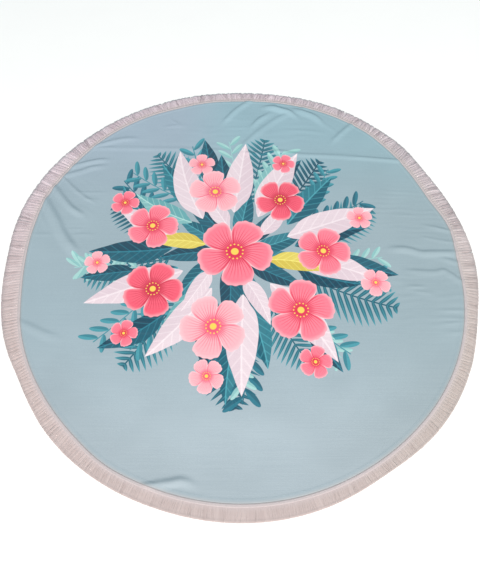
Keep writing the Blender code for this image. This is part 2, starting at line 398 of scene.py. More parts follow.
    def lift(self, places: np.ndarray) -> np.ndarray:
        """How high the underside stands at each place.

        Args:
            places: The points to look at, one a row.

        Returns:
            One height for each place.
        """
        height = np.max([fold.rise(places, self.run_out) for fold in self.FOLDS], axis=0)
        height += np.max([crease.rise(places, self.run_out) for crease in self.CREASES], axis=0)
        for patch in self.WRINKLES:
            height += patch.rise(places)
        spread = places / self.swell_size
        slack = np.array([noise.noise(Vector((x, y, 0.0))) for x, y in spread])
        height += self.swell * eased(slack + self.swell_spread)
        bearing = np.arctan2(places[:, 1], places[:, 0])
        inset = self.outline.cloth_radius(bearing) - np.hypot(*places.T)
        return height * (self.hem_hold + (1.0 - self.hem_hold) * eased(inset / self.hem_fade))

    def along_edge(self, bearing: np.ndarray, outside: float | np.ndarray = 0.0) -> np.ndarray:
        """Points round the towel.

        Args:
            bearing: Their bearings in radians.
            outside: How far outside the cloth's edge they lie.

        Returns:
            The points, one a row.
        """
        radius = self.outline.cloth_radius(bearing) + outside
        return np.stack([radius * np.cos(bearing), radius * np.sin(bearing)], axis=1)

    def lift_along_edge(self, bearing: np.ndarray, outside: float) -> np.ndarray:
        """How high the cloth, or past its edge the trim, stands round the towel.

        Args:
            bearing: The bearings to look at, in radians.
            outside: How far outside the cloth's edge to look.

        Returns:
            One height for each bearing.
        """
        kept = 1.0 - self.fall * max(outside, 0.0)
        return kept * self.lift(self.along_edge(bearing, min(outside, 0.0)))


# ---------------------------------------------------------------- shader writing


class Graph:
    """Writes shader nodes as plain calls, each of which gives back a socket."""

    def __init__(self, tree: bpy.types.NodeTree) -> None:
        """Starts writing in a node tree."""
        self.tree = tree

    def node(
        self, kind: str, inputs: dict[int | str, Value | Colour] | None = None, **settings: object
    ) -> bpy.types.Node:
        """Adds one node.

        Args:
            kind: The node's type, without the words ShaderNode.
            inputs: What its sockets take, by number or name: a socket to link or a constant.
            settings: The node's own settings.

        Returns:
            The node.
        """
        made = self.tree.nodes.new(f"ShaderNode{kind}")
        for name, setting in settings.items():
            setattr(made, name, setting)
        for place, value in (inputs or {}).items():
            if isinstance(value, bpy.types.NodeSocket):
                self.tree.links.new(value, made.inputs[place])
            else:
                made.inputs[place].default_value = value
        return made

    def math(self, operation: str, *values: Value) -> Socket:
        """One sum on one to three values."""
        return self.node("Math", dict(enumerate(values)), operation=operation).outputs[0]

    def product(self, *values: Value) -> Socket:
        """Two or more values multiplied."""
        return reduce(lambda so_far, value: self.math("MULTIPLY", so_far, value), values)

    def plus(self, first: Value, second: Value) -> Socket:
        """Two values added."""
        return self.math("ADD", first, second)

    def minus(self, first: Value, second: Value) -> Socket:
        """The second value taken from the first."""
        return self.math("SUBTRACT", first, second)

    def scaled(self, value: Value, by: Value, plus: Value) -> Socket:
        """A value multiplied, with another added."""
        return self.math("MULTIPLY_ADD", value, by, plus)

    def size(self, value: Value) -> Socket:
        """A value without its sign."""
        return self.math("ABSOLUTE", value)

    def saw(self, value: Value) -> Socket:
        """What follows a value's point, from -0.5 to 0.5."""
        return self.minus(self.math("FRACT", value), 0.5)

    def step(
        self, value: Value, low: float, high: float, start: float = 0.0, end: float = 1.0
    ) -> Socket:
        """A smooth step of a value.

        Args:
            value: The value.
            low: Where the step starts.
            high: Where it is done.
            start: What it gives up to there.
            end: What it gives from there on.

        Returns:
            The stepped value.
        """
        inputs = {"Value": value, "From Min": low, "From Max": high, "To Min": start, "To Max": end}
        return self.node("MapRange", inputs, interpolation_type="SMOOTHSTEP").outputs[0]

    def fade(self, value: Value, low: float, high: float, start: float = 1.0) -> Socket:
        """A smooth step down to 0, from 1 or another start."""
        return self.step(value, low, high, start, 0.0)

    def mix(
        self, factor: Value, first: Socket | Colour, second: Socket | Colour, blend: str = "MIX"
    ) -> Socket:
        """Two colours mixed.

        Args:
            factor: How much of the second shows.
            first: The first colour.
            second: The second colour.
            blend: The way they are laid over each other.

        Returns:
            The mixed colour.
        """
        solid = [c if isinstance(c, bpy.types.NodeSocket) else (*c, 1.0) for c in (first, second)]
        inputs = {0: factor, 6: solid[0], 7: solid[1]}
        return self.node("Mix", inputs, data_type="RGBA", blend_type=blend, clamp_factor=True).outputs[2]

    def tinted(self, colour: Socket, tint: Colour, factor: Value) -> Socket:
        """A colour multiplied by a tint, as far as the factor says."""
        return self.mix(factor, colour, tint, "MULTIPLY")

    def curve(self, value: Value, points: Iterable[tuple[float, float]]) -> Socket:
        """A value read off a smooth curve through points from 0 to 1."""
        made = self.node("FloatCurve", {1: value})
        line = made.mapping.curves[0]
        points = list(points)
        for at, (x, y) in enumerate(points):
            if 0 < at < len(points) - 1:
                line.points.new(x, y)
            else:
                line.points[-1 if at else 0].location = (x, y)
        made.mapping.update()
        return made.outputs[0]

    def palette(self, index: Value, colours: Sequence[Colour]) -> Socket:
        """The colour with a whole-number index, from a short list.

        Args:
            index: The index. What follows its point is ignored.
            colours: The colours, from index 0 on.

        Returns:
            The colour picked.
        """
        made = self.node("ValToRGB", {0: self.math("DIVIDE", index, float(len(colours)))})
        stops = made.color_ramp.elements
        made.color_ramp.interpolation = "CONSTANT"
        for at, colour in enumerate(colours):
            stop = stops[0] if at == 0 else stops.new(at / len(colours))
            stop.color = (*colour, 1.0)
        stops.remove(stops[-1])
        return made.outputs[0]

    def attribute(self, name: str, output: str = "Fac") -> Socket:
        """What the mesh holds under a name."""
        return self.node("Attribute", attribute_name=name).outputs[output]

    def place(self) -> Socket:
        """The place on the piece, in metres."""
        return self.node("TexCoord").outputs["Object"]

    def split(self, vector: Socket) -> list[Socket]:
        """A vector's three parts."""
        return list(self.node("SeparateXYZ", {0: vector}).outputs)

    def noise(self, vector: Socket, scale: float, detail: float = 2.0) -> Socket:
        """Cloudy values from 0 to 1."""
        return self.node("TexNoise", {"Vector": vector, "Scale": scale, "Detail": detail}).outputs["Fac"]

    def stretched(self, vector: Socket, scale: Sequence[float]) -> Socket:
        """Coordinates scaled along each axis."""
        return self.node("Mapping", {0: vector, 3: tuple(scale)}).outputs[0]

    def bump(
        self, height: Socket, strength: float, distance: float, under: Socket | None = None
    ) -> Socket:
        """A bumped normal.

        Args:
            height: The height, from 0 to 1.
            strength: How strongly it shows.
            distance: What a height of 1 measures, in metres.
            under: The normal that it is laid on.

        Returns:
            The normal.
        """
        inputs = {"Strength": strength, "Distance": distance, "Height": height}
        if under:
            inputs["Normal"] = under
        return self.node("Bump", inputs).outputs[0]

    def group(self, tree: bpy.types.NodeTree, place: Socket) -> list[Socket]:
        """A node group fed with one vector.

        Args:
            tree: The group's tree.
            place: The vector.

        Returns:
            The group's outputs.
        """
        made = self.tree.nodes.new("ShaderNodeGroup")
        made.node_tree = tree
        self.tree.links.new(place, made.inputs[0])
        return list(made.outputs)


class MattMaterial:
    """A matt material under way, which a finish fills in."""

    def __init__(self, name: str, roughness: float, sheen: float = 0.0) -> None:
        """Starts a material.

        Args:
            name: The material's name.
            roughness: The surface's roughness.
            sheen: How strongly its nap catches light at a slant.
        """
        self.material = bpy.data.materials.new(name)
        self.material.use_nodes = True
        self.graph = Graph(self.material.node_tree)
        self.shader = self.material.node_tree.nodes["Principled BSDF"]
        self.shader.inputs["Roughness"].default_value = roughness
        self.shader.inputs["Sheen Weight"].default_value = sheen

    def finished(self, colour: Socket, normal: Socket | None = None) -> bpy.types.Material:
        """Gives the shader its colour and its bumps.

        Args:
            colour: The colour.
            normal: The bumped normal, where there is one.

        Returns:
            The material.
        """
        self.graph.tree.links.new(colour, self.shader.inputs["Base Color"])
        if normal:
            self.graph.tree.links.new(normal, self.shader.inputs["Normal"])
        return self.material


# ---------------------------------------------------------------- the print


class Kind(Enum):
    """The kinds of printed motif, from the lowest ink to the topmost."""

    FROND = "frond"
    SPRIG = "sprig"
    LEAF = "leaf"
    PETAL_LEAF = "petal_leaf"
    BLOSSOM = "blossom"


class Ink(Enum):
    """The inks of leaves, by their place in the palette."""

    TEAL = 0
    DEEP_TEAL = 1
    MINT = 2
    PALE_PINK = 3
    YELLOW = 4


class Bloom(Enum):
    """The inks of blossoms, by their place in the palette."""

    CORAL = 0
    ROSE = 1
    BLUSH = 2


# How far a motif of each kind reaches in its own measure: behind its foot, past it, and to each side.
REACH = {
    Kind.FROND: (0.04, 1.05, 0.42),
    Kind.SPRIG: (0.04, 1.12, 0.27),
    Kind.LEAF: (0.02, 1.03, 0.27),
    Kind.PETAL_LEAF: (0.02, 1.03, 0.27),
    Kind.BLOSSOM: (1.08, 1.08, 1.08),
}

OFF_MOTIF = -9.0  # the own place of a face without a motif, far outside any of them


@dataclass(frozen=True)
class Motif:
    """One printed motif.

    Attributes:
        kind: What it is.
        foot: Where it starts: a leaf's stalk, or a blossom's middle.
        bearing: The way it points, in radians.
        length: Its length from foot to tip, or a blossom's radius.
        tint: Its ink's index, and after the point its own chance variation.
    """

    kind: Kind
    foot: tuple[float, float]
    bearing: float
    length: float
    tint: float

    def own_places(self, places: np.ndarray) -> np.ndarray:
        """Places in the motif's own measure: along it and to its left, as shares of its length."""
        away = (places - self.foot) / self.length
        along = away @ (math.cos(self.bearing), math.sin(self.bearing))
        across = away @ (-math.sin(self.bearing), math.cos(self.bearing))
        return np.stack([along, across], axis=-1)

    def covers(self, places: np.ndarray, margin: float) -> np.ndarray:
        """Which places lie in the motif's territory, with a margin in metres round it."""
        along, across = self.own_places(places).T
        behind, past, side = (reach + margin / self.length for reach in REACH[self.kind])
        return (along > -behind) & (along < past) & (np.abs(across) < side)


@dataclass(frozen=True)
class MotifRing:
    """A ring of like motifs round the bouquet's middle.

    Attributes:
        kind: What they are.
        count: How many there are.
        radius: How far their feet lie from the middle.
        start_deg: The bearing of the first.
        length: Their length.
        turn_deg: How far they turn from pointing straight out.
        inks: Their inks in turn.
    """

    kind: Kind
    count: int
    radius: float
    start_deg: float
    length: float
    turn_deg: float
    inks: tuple[Enum, ...]


@dataclass(frozen=True)
class Bouquet:
    """The print: rings of leaves and blossoms round one middle, each motif a little off its place.

    Attributes:
        middle: The bouquet's middle.
        wide: How much wider the rings are than deep.
        seed: The seed of the small chances.
        margin: The least clear space between two motifs of one layer.
    """

    middle: tuple[float, float] = (-0.02, 0.025)
    wide: float = 1.16
    seed: int = 11
    margin: float = 0.008

    # How far a motif may be off its place: round the ring, outwards, in its own turn, and in its length.
    SWING = 0.10
    SHIFT = 0.06
    TURN = 0.18
    STRETCH = 0.12

    RINGS = (
        MotifRing(Kind.FROND, 10, 0.19, 12, 0.28, 6, (Ink.TEAL, Ink.DEEP_TEAL, Ink.TEAL)),
        MotifRing(Kind.SPRIG, 9, 0.26, 32, 0.21, -8, (Ink.DEEP_TEAL, Ink.MINT, Ink.TEAL)),
        MotifRing(Kind.SPRIG, 8, 0.28, -4, 0.19, 14, (Ink.MINT, Ink.TEAL)),
        MotifRing(Kind.LEAF, 9, 0.27, 30, 0.20, -16, (Ink.TEAL, Ink.DEEP_TEAL, Ink.DEEP_TEAL)),
        MotifRing(Kind.LEAF, 13, 0.17, 5, 0.25, 8, (Ink.DEEP_TEAL, Ink.TEAL, Ink.MINT)),
        MotifRing(Kind.LEAF, 11, 0.05, 14, 0.20, 12, (Ink.TEAL, Ink.DEEP_TEAL)),
        MotifRing(Kind.PETAL_LEAF, 10, 0.15, 24, 0.29, -10, (Ink.PALE_PINK,)),
        MotifRing(Kind.PETAL_LEAF, 6, 0.09, 40, 0.19, 14, (Ink.PALE_PINK, Ink.PALE_PINK, Ink.YELLOW)),
        MotifRing(Kind.BLOSSOM, 7, 0.255, 4, 0.092, 0, (Bloom.CORAL, Bloom.ROSE, Bloom.BLUSH)),
        MotifRing(Kind.BLOSSOM, 9, 0.395, 24, 0.046, 0, (Bloom.BLUSH, Bloom.CORAL)),
        MotifRing(Kind.BLOSSOM, 1, 0.0, 0, 0.125, 0, (Bloom.CORAL,)),
    )

    def motifs(self) -> list[Motif]:
        """All the motifs, ring by ring."""
        chance = random.Random(self.seed)
        found = []
        for ring in self.RINGS:
            for step in range(ring.count):
                bearing = math.radians(ring.start_deg) + math.tau * step / ring.count
                bearing += chance.uniform(-self.SWING, self.SWING)
                radius = ring.radius * chance.uniform(1.0 - self.SHIFT, 1.0 + self.SHIFT)
                foot = (
                    self.middle[0] + self.wide * radius * math.cos(bearing),
                    self.middle[1] + radius * math.sin(bearing),
                )
                turned = bearing + math.radians(ring.turn_deg) + chance.uniform(-self.TURN, self.TURN)
                length = ring.length * chance.uniform(1.0 - self.STRETCH, 1.0 + self.STRETCH)
                tint = ring.inks[step % len(ring.inks)].value + chance.uniform(0.1, 0.9)
                found.append(Motif(ring.kind, foot, turned, length, tint))
        return found

    def layers(self, places: np.ndarray) -> dict[Kind, list[list[tuple[Motif, np.ndarray]]]]:
        """Sorts the motifs into layers in which no two of them share a place.

        Args:
            places: The middles of the cloth's faces.

        Returns:
            For each kind its layers, each a list of motifs and the faces that they take.
        """
        sorted_out: dict[Kind, list[list[tuple[Motif, np.ndarray]]]] = {kind: [] for kind in Kind}
        taken: dict[Kind, list[np.ndarray]] = {kind: [] for kind in Kind}
        for motif in self.motifs():
            faces = motif.covers(places, self.margin)
            for layer, used in zip(sorted_out[motif.kind], taken[motif.kind]):
                if not (used & faces).any():
                    layer.append((motif, faces))
                    used |= faces
                    break
            else:
                sorted_out[motif.kind].append([(motif, faces)])
                taken[motif.kind].append(faces.copy())
        return sorted_out


class MotifShaders:
    """The node groups that draw one motif of each kind from its own places.

    All sizes are shares of the motif's length. A curve gives a width from 0 to 1 along the motif.
    """

    # The dark and the light ink of each leaf, and of each blossom's throat and petals.
    LEAF_INKS = {
        Ink.TEAL: (srgb(0, 82, 102), srgb(74, 158, 172)),
        Ink.DEEP_TEAL: (srgb(0, 56, 78), srgb(40, 122, 142)),
        Ink.MINT: (srgb(92, 158, 164), srgb(170, 212, 208)),
        Ink.PALE_PINK: (srgb(216, 196, 206), srgb(236, 222, 228)),
        Ink.YELLOW: (srgb(206, 184, 74), srgb(238, 226, 120)),
    }
    BLOOM_INKS = {
        Bloom.CORAL: (srgb(212, 28, 72), srgb(244, 122, 142)),
        Bloom.ROSE: (srgb(190, 12, 56), srgb(236, 88, 112)),
        Bloom.BLUSH: (srgb(230, 84, 116), srgb(246, 174, 184)),
    }
    PETAL_RIM = srgb(252, 206, 212)
    POLLEN = srgb(244, 204, 84)

    # BOW: how far a motif's middle line may bow. SPAN, BAND: where a change starts and is done.
    # EDGE: how soft an outline is. LIGHT, DEPTH: how far a mark goes to the lighter or deeper ink.
    LEAF_BOW = 0.7
    LEAF_OUTLINE = ((0, 0), (0.1, 0.42), (0.35, 0.98), (0.55, 0.9), (0.8, 0.48), (1, 0))
    LEAF_HALF_WIDTH = 0.165
    LEAF_EDGE = 0.006
    LEAF_VEINS = 8.0
    LEAF_VEIN_SLANT = -10.0
    LEAF_VEIN_BAND = (0.36, 0.49)
    LEAF_VEIN_LIGHT = 0.42
    MIDRIB_SPAN = (0.005, 0.012)
    MIDRIB_LIGHT = 0.7
    LEAF_SIDES_SPAN = (-0.004, 0.004)
    LEAF_SIDES_LIGHT = (0.05, 0.34)

    FROND_BOW = 0.5
    FROND_OUTLINE = ((0, 0.10), (0.15, 0.24), (0.4, 0.31), (0.75, 0.22), (1, 0.03))
    FROND_FOOT_SPAN = (0.0, 0.01)
    FROND_TIP_SPAN = (0.985, 1.0)
    FROND_STEM_SPAN = (0.006, 0.010)
    LEAFLET_OUTLINE = ((0, 0.22), (0.3, 0.36), (0.65, 0.27), (1, 0))
    LEAFLET_EDGE = 0.06
    LEAFLET_TIP_SPAN = (0.97, 1.0)
    LEAFLETS = 14.0
    LEAFLET_SLANT = -0.66
    LEAFLET_RIB_SPAN = (0.02, 0.10)
    LEAFLET_RIB_LIGHT = (0.45, 0.05)
    LEAFLET_TIP_LIGHT = 0.45

    SPRIG_BOW = 0.4
    OVALS = 5.2
    WHOLE_OVALS = 5.0
    OVAL_SLANT = -4.2
    OVAL_HALF_WIDTH = 0.32  # along the stem, as a share of the ovals' pitch
    OVAL_MIDDLE = 0.115
    OVAL_HALF_LENGTH = 0.11
    OVAL_POWERS = (1.7, 2.0)  # how full the oval is along the stem, and outwards
    OVAL_BAND = (0.9, 1.05)
    OVAL_SIDES_SPAN = (-0.1, 0.1)
    OVAL_LIGHT = (0.35, 0.45)  # what the lighter side adds, and what both have
    SPRIG_FOOT_SPAN = (0.0, 0.01)
    SPRIG_TIP_SPAN = (0.94, 0.96)
    SPRIG_STEM_SPAN = (0.006, 0.011)

    PETALS = 5.0
    PETAL_TWIST = 0.12
    PETAL_OUTLINE = ((0, 1.0), (0.45, 0.985), (0.75, 0.9), (1, 0.62))
    PETAL_EDGE = 0.025
    PETAL_RAYS = 58.0
    RAY_BEND = 3.0
    RAY_BAND = (0.25, 0.95)
    RAY_DEPTH = 0.75
    RAY_SPAN = (0.35, 0.92)
    THROAT_SPAN = (0.10, 0.50)
    FOLD_SPAN = (0.34, 0.5)
    FOLD_DEPTH = 0.55
    RIM_SPAN = (-0.5, -0.38)
    RIM_REACH = (0.2, 0.6)
    RIM_LIGHT = 0.6
    TIP_WIDTH = 0.16
    TIP_LIGHT = 0.45
    FRILLS = 29.0
    FRILL_DEPTH = 0.012
    BEADS = 13.0
    BEAD_RING = 0.215
    BEAD_TIGHTNESS = (30.0, 3.0)  # outwards, and round the ring
    BEAD_BAND = (0.7, 0.95)
    HEART_SPAN = (0.085, 0.115)

    def __init__(self) -> None:
        """Makes the groups."""
        self.groups = {
            Kind.FROND: self.make("Palm frond", self.frond),
            Kind.SPRIG: self.make("Oval sprig", self.sprig),
            Kind.LEAF: self.make("Lance leaf", self.leaf),
            Kind.BLOSSOM: self.make("Five-petal blossom", self.blossom),
        }
        self.groups[Kind.PETAL_LEAF] = self.groups[Kind.LEAF]

    @staticmethod
    def make(name: str, draw: Callable[..., tuple[Socket, Socket]]) -> bpy.types.NodeTree:
        """Makes one group.

        Args:
            name: The group's name.
            draw: The method that draws the motif.

        Returns:
            The group's tree, with outputs Mask and Colour.
        """
        tree = bpy.data.node_groups.new(name, "ShaderNodeTree")
        tree.interface.new_socket("Place", in_out="INPUT", socket_type="NodeSocketVector")
        tree.interface.new_socket("Mask", in_out="OUTPUT", socket_type="NodeSocketFloat")
        tree.interface.new_socket("Colour", in_out="OUTPUT", socket_type="NodeSocketColor")
        graph = Graph(tree)
        drawn = draw(graph, *graph.split(tree.nodes.new("NodeGroupInput").outputs[0]))
        ends = tree.nodes.new("NodeGroupOutput")
        for socket, end in zip(drawn, ends.inputs):
            tree.links.new(socket, end)
        return tree

    @staticmethod
    def bent(g: Graph, along: Socket, across: Socket, tint: Socket, most: float) -> Socket:
        """The distance across a motif whose middle line bows to one side by its own chance."""
        bow = g.scaled(g.math("FRACT", tint), most, -0.5 * most)
        hump = g.product(along, g.minus(1.0, along))
        return g.scaled(hump, bow, across)

    @staticmethod
    def inks(g: Graph, tint: Socket, choice: dict[Enum, tuple[Colour, Colour]]) -> list[Socket]:
        """The dark and the light ink that a motif's tint picks."""
        return [g.palette(tint, colours) for colours in zip(*choice.values())]

    def leaf(self, g: Graph, along: Socket, across: Socket, tint: Socket) -> tuple[Socket, Socket]:
        """A lance-shaped leaf with a midrib and side veins."""
        across = self.bent(g, along, across, tint, self.LEAF_BOW)
        side = g.size(across)
        half = g.product(g.curve(along, self.LEAF_OUTLINE), self.LEAF_HALF_WIDTH)
        mask = g.step(g.minus(half, side), 0.0, self.LEAF_EDGE)
        veins = g.saw(g.scaled(side, self.LEAF_VEIN_SLANT, g.product(along, self.LEAF_VEINS)))
        vein = g.step(g.size(veins), *self.LEAF_VEIN_BAND)
        midrib = g.fade(side, *self.MIDRIB_SPAN)
        lit_side = g.step(across, *self.LEAF_SIDES_SPAN, *self.LEAF_SIDES_LIGHT)
        shade = g.scaled(midrib, self.MIDRIB_LIGHT, g.scaled(vein, self.LEAF_VEIN_LIGHT, lit_side))
        return mask, g.mix(shade, *self.inks(g, tint, self.LEAF_INKS))

    def frond(self, g: Graph, along: Socket, across: Socket, tint: Socket) -> tuple[Socket, Socket]:
        """A palm frond: narrow leaflets slanting forward from both sides of a bowed stem."""
        side = g.size(self.bent(g, along, across, tint, self.FROND_BOW))
        rooted = g.scaled(side, self.LEAFLET_SLANT, along)
        reach = g.math("DIVIDE", side, g.curve(rooted, self.FROND_OUTLINE))
        away = g.size(g.saw(g.product(rooted, self.LEAFLETS)))
        inside = g.minus(g.curve(reach, self.LEAFLET_OUTLINE), away)
        leaflets = g.step(inside, 0.0, self.LEAFLET_EDGE)
        ends = g.product(g.step(rooted, *self.FROND_FOOT_SPAN), g.fade(rooted, *self.FROND_TIP_SPAN))
        blade = g.product(leaflets, g.fade(reach, *self.LEAFLET_TIP_SPAN), ends)
        stem = g.product(g.fade(side, *self.FROND_STEM_SPAN), ends)
        rib = g.step(away, *self.LEAFLET_RIB_SPAN, *self.LEAFLET_RIB_LIGHT)
        shade = g.scaled(reach, self.LEAFLET_TIP_LIGHT, rib)
        return g.math("MAXIMUM", blade, stem), g.mix(shade, *self.inks(g, tint, self.LEAF_INKS))

    def sprig(self, g: Graph, along: Socket, across: Socket, tint: Socket) -> tuple[Socket, Socket]:
        """A sprig: small oval leaves set in turn on both sides of a thin stem."""
        across = self.bent(g, along, across, tint, self.SPRIG_BOW)
        side = g.size(across)
        other_side = g.product(g.math("GREATER_THAN", across, 0.0), 0.5)
        slant = g.scaled(side, self.OVAL_SLANT, g.scaled(along, self.OVALS, other_side))
        near = g.math("DIVIDE", g.saw(slant), self.OVAL_HALF_WIDTH)
        out = g.math("DIVIDE", g.minus(side, self.OVAL_MIDDLE), self.OVAL_HALF_LENGTH)
        offs = zip((near, out), self.OVAL_POWERS)
        powers = [g.math("POWER", g.size(off), power) for off, power in offs]
        before_end = g.math("LESS_THAN", slant, self.WHOLE_OVALS)
        whole = g.product(g.math("GREATER_THAN", slant, 0.0), before_end)
        leaves = g.product(g.fade(g.plus(*powers), *self.OVAL_BAND), whole)
        ends = g.step(along, *self.SPRIG_FOOT_SPAN), g.fade(along, *self.SPRIG_TIP_SPAN)
        stem = g.product(g.fade(side, *self.SPRIG_STEM_SPAN), *ends)
        shade = g.scaled(g.step(near, *self.OVAL_SIDES_SPAN), *self.OVAL_LIGHT)
        return g.math("MAXIMUM", leaves, stem), g.mix(shade, *self.inks(g, tint, self.LEAF_INKS))

    def blossom(self, g: Graph, along: Socket, across: Socket, tint: Socket) -> tuple[Socket, Socket]:
        """A plain blossom of five round petals, each lying over the next, with a dark throat."""
        reach = g.math("SQRT", g.plus(g.product(along, along), g.product(across, across)))
        angle = g.math("ARCTAN2", across, along)
        turned = g.scaled(angle, self.PETALS / math.tau, 0.5 * self.PETALS)
        petal = g.saw(g.scaled(reach, self.PETAL_TWIST, turned))
        edge = g.curve(g.product(g.size(petal), 2.0), self.PETAL_OUTLINE)
        frill = g.product(g.math("SINE", g.product(angle, self.FRILLS)), self.FRILL_DEPTH)
        mask = g.step(g.minus(g.plus(edge, frill), reach), 0.0, self.PETAL_EDGE)
        rays = g.math("SINE", g.scaled(petal, self.PETAL_RAYS, g.product(reach, self.RAY_BEND)))
        ray = g.step(rays, *self.RAY_BAND, end=self.RAY_DEPTH)
        deep = g.plus(g.fade(reach, *self.THROAT_SPAN), g.product(ray, g.fade(reach, *self.RAY_SPAN)))
        fold = g.step(petal, *self.FOLD_SPAN, end=self.FOLD_DEPTH)
        throat, petals = self.inks(g, tint, self.BLOOM_INKS)
        colour = g.mix(g.plus(deep, fold), petals, throat)
        outer = g.step(reach, *self.RIM_REACH, end=self.RIM_LIGHT)
        rim = g.product(g.fade(petal, *self.RIM_SPAN), outer)
        tip = g.fade(g.minus(edge, reach), 0.0, self.TIP_WIDTH, self.TIP_LIGHT)
        colour = g.mix(g.plus(rim, tip), colour, self.PETAL_RIM)
        off_bead = g.size(g.saw(g.product(angle, self.BEADS / math.tau)))
        off_ring = g.size(g.minus(reach, self.BEAD_RING))
        outwards, round_ring = self.BEAD_TIGHTNESS
        off = g.plus(g.product(off_ring, outwards), g.product(off_bead, round_ring))
        heart = g.math("MAXIMUM", g.fade(off, *self.BEAD_BAND), g.fade(reach, *self.HEART_SPAN))
        return mask, g.mix(heart, colour, self.POLLEN)


# ---------------------------------------------------------------- finishes


@dataclass(frozen=True)
class PrintedCotton:
    """The cloth's printed face: short cotton nap on a fine weave, dyed aqua, with a print.

    Attributes:
        shaded_far_left_ground: The ground's colour at the far left, with the painted light and shade
            there.
        shaded_far_ground: Its colour at the rest of the far side, darker as painted shade.
        middle_ground: Its colour half way, with the painted light there.
        lit_near_ground: Its colour at the near side, lighter as painted light.
        near_span: Where the near colour starts and is done giving way to the middle one.
        far_span: Where the middle colour gives way to the far ones.
        far_left_span: Where the far left colour gives way to the far one, from left to right.
        painted_side_shade: The painted shade that darkens the ground towards the right side.
        side_span: Where it starts and is done darkening there.
        painted_rim_shade: The painted shade that darkens it towards the near edge.
        rim_insets: How far inside the edge it is darkest, and where that ends.
        rim_span: Where it is darkest from near to far, and where that ends.
        hem_fade: The painted shade over the turned hem's outer edge.
        hem_inset: How far inside the edge that ends.
        cloud_tint: How it darkens in faint clouds.
        slub_tint: How it darkens along the slubs.
        painted_thread_highlight: The painted highlight that lightens it on top of the threads.
        ink_cover: How much of the ground an ink hides.
        roughness: The nap's roughness.
        sheen: How strongly the nap catches light at a slant.
        slub_length: The length of the faint slubs that run across the cloth.
        slub_width: Their width.
        thread_pitch: The pitch of the weave's threads.
        relief: The height of threads and slubs.
    """

    shaded_far_left_ground: Colour = srgb(155, 173, 188)
    shaded_far_ground: Colour = srgb(145, 175, 187)
    middle_ground: Colour = srgb(151, 170, 180)
    lit_near_ground: Colour = srgb(163, 178, 187)
    near_span: Span = (-0.62, -0.16)
    far_span: Span = (0.12, 0.58)
    far_left_span: Span = (-0.25, 0.0)
    painted_side_shade: Colour = (0.96, 0.965, 0.95)
    side_span: Span = (0.1, 0.6)
    painted_rim_shade: Colour = (0.92, 0.92, 0.92)
    rim_insets: Span = (0.02, 0.15)
    rim_span: Span = (-0.5, -0.2)
    hem_fade: Colour = (1.02, 0.93, 0.89)
    hem_inset: float = 0.008
    cloud_tint: Colour = (0.93, 0.93, 0.93)
    slub_tint: Colour = (0.965, 0.97, 0.975)
    painted_thread_highlight: Colour = (1.08, 1.08, 1.08)
    ink_cover: float = 0.97
    roughness: float = 0.92
    sheen: float = 0.12
    slub_length: float = 0.16
    slub_width: float = 0.0030
    thread_pitch: float = 0.0016
    relief: float = 0.0006

    # Between which values of its noise each kind of unevenness comes in.
    CLOUD_BAND = (0.3, 0.7)
    SLUB_BAND = (0.35, 0.65)
    THREAD_BAND = (0.35, 0.75)
    CLOUDS = 5.0  # in a metre
    CLOUD_COVER = 0.5
    # How strongly threads and slubs stand out.
    THREAD_BUMP = 0.6
    SLUB_BUMP = 0.3

    def make(self, layer_names: Sequence[tuple[str, Kind]]) -> bpy.types.Material:
        """Makes the material.

        Args:
            layer_names: The print's layers from the lowest up: attribute name and kind.

        Returns:
            The material.
        """
        cotton = MattMaterial("Printed aqua cotton", self.roughness, self.sheen)
        g = cotton.graph
        place = g.place()
        inset = g.attribute("inset")
        colour = self.print_over(g, self.ground(g, place, inset), layer_names)
        slub = g.noise(g.stretched(place, (1 / self.slub_length, 1 / self.slub_width, 1.0)), 1.0)
        colour = g.tinted(colour, self.slub_tint, g.step(slub, *self.SLUB_BAND))
        thread = g.noise(place, 1.0 / self.thread_pitch, detail=1.0)
        # Painted highlight on the tops of the threads.
        colour = g.tinted(colour, self.painted_thread_highlight, g.step(thread, *self.THREAD_BAND))
        # Painted shade over the hem's rounded outer edge.
        colour = g.tinted(colour, self.hem_fade, g.fade(inset, 0.0, self.hem_inset))
        normal = g.bump(slub, self.SLUB_BUMP, self.relief)
        normal = g.bump(thread, self.THREAD_BUMP, self.relief, normal)
        return cotton.finished(colour, normal)

    def ground(self, g: Graph, place: Socket, inset: Socket) -> Socket:
        """The ground's colour, with painted light and shade: lighter at the near side, darker at the far
        side and to the right, and darker near the near edge.

        Args:
            g: The material's graph.
            place: The place on the towel.
            inset: The distance inside the cloth's edge.

        Returns:
            The colour.
        """
        across, depth, _ = g.split(place)
        # Painted light: the ground is lighter at the near side and darker towards the far side.
        colour = g.mix(g.step(depth, *self.near_span), self.lit_near_ground, self.middle_ground)
        far = g.mix(g.step(across, *self.far_left_span), self.shaded_far_left_ground, self.shaded_far_ground)
        colour = g.mix(g.step(depth, *self.far_span), colour, far)
        # Painted shade towards the right side.
        colour = g.tinted(colour, self.painted_side_shade, g.step(across, *self.side_span))
        # Painted shade towards the near edge.
        rim = g.product(g.fade(inset, *self.rim_insets), g.fade(depth, *self.rim_span))
        colour = g.tinted(colour, self.painted_rim_shade, rim)
        cloud = g.step(g.noise(place, self.CLOUDS), *self.CLOUD_BAND, end=self.CLOUD_COVER)
        return g.tinted(colour, self.cloud_tint, cloud)

    def print_over(self, g: Graph, colour: Socket, layer_names: Sequence[tuple[str, Kind]]) -> Socket:
        """Prints the motifs over the ground, layer by layer.

        Args:
            g: The material's graph.
            colour: The ground's colour.
            layer_names: The print's layers from the lowest up: attribute name and kind.

        Returns:
            The printed colour.
        """
        shaders = MotifShaders()
        for name, kind in layer_names:
            # A trace of the colour below makes each layer wait its turn, which keeps the shader small.
            traced = {0: colour, 1: (1e-9,) * 3, 2: g.attribute(name, "Vector")}
            own = g.node("VectorMath", traced, operation="MULTIPLY_ADD").outputs[0]
            mask, ink = g.group(shaders.groups[kind], own)
            colour = g.mix(g.product(mask, self.ink_cover), colour, ink)
        return colour


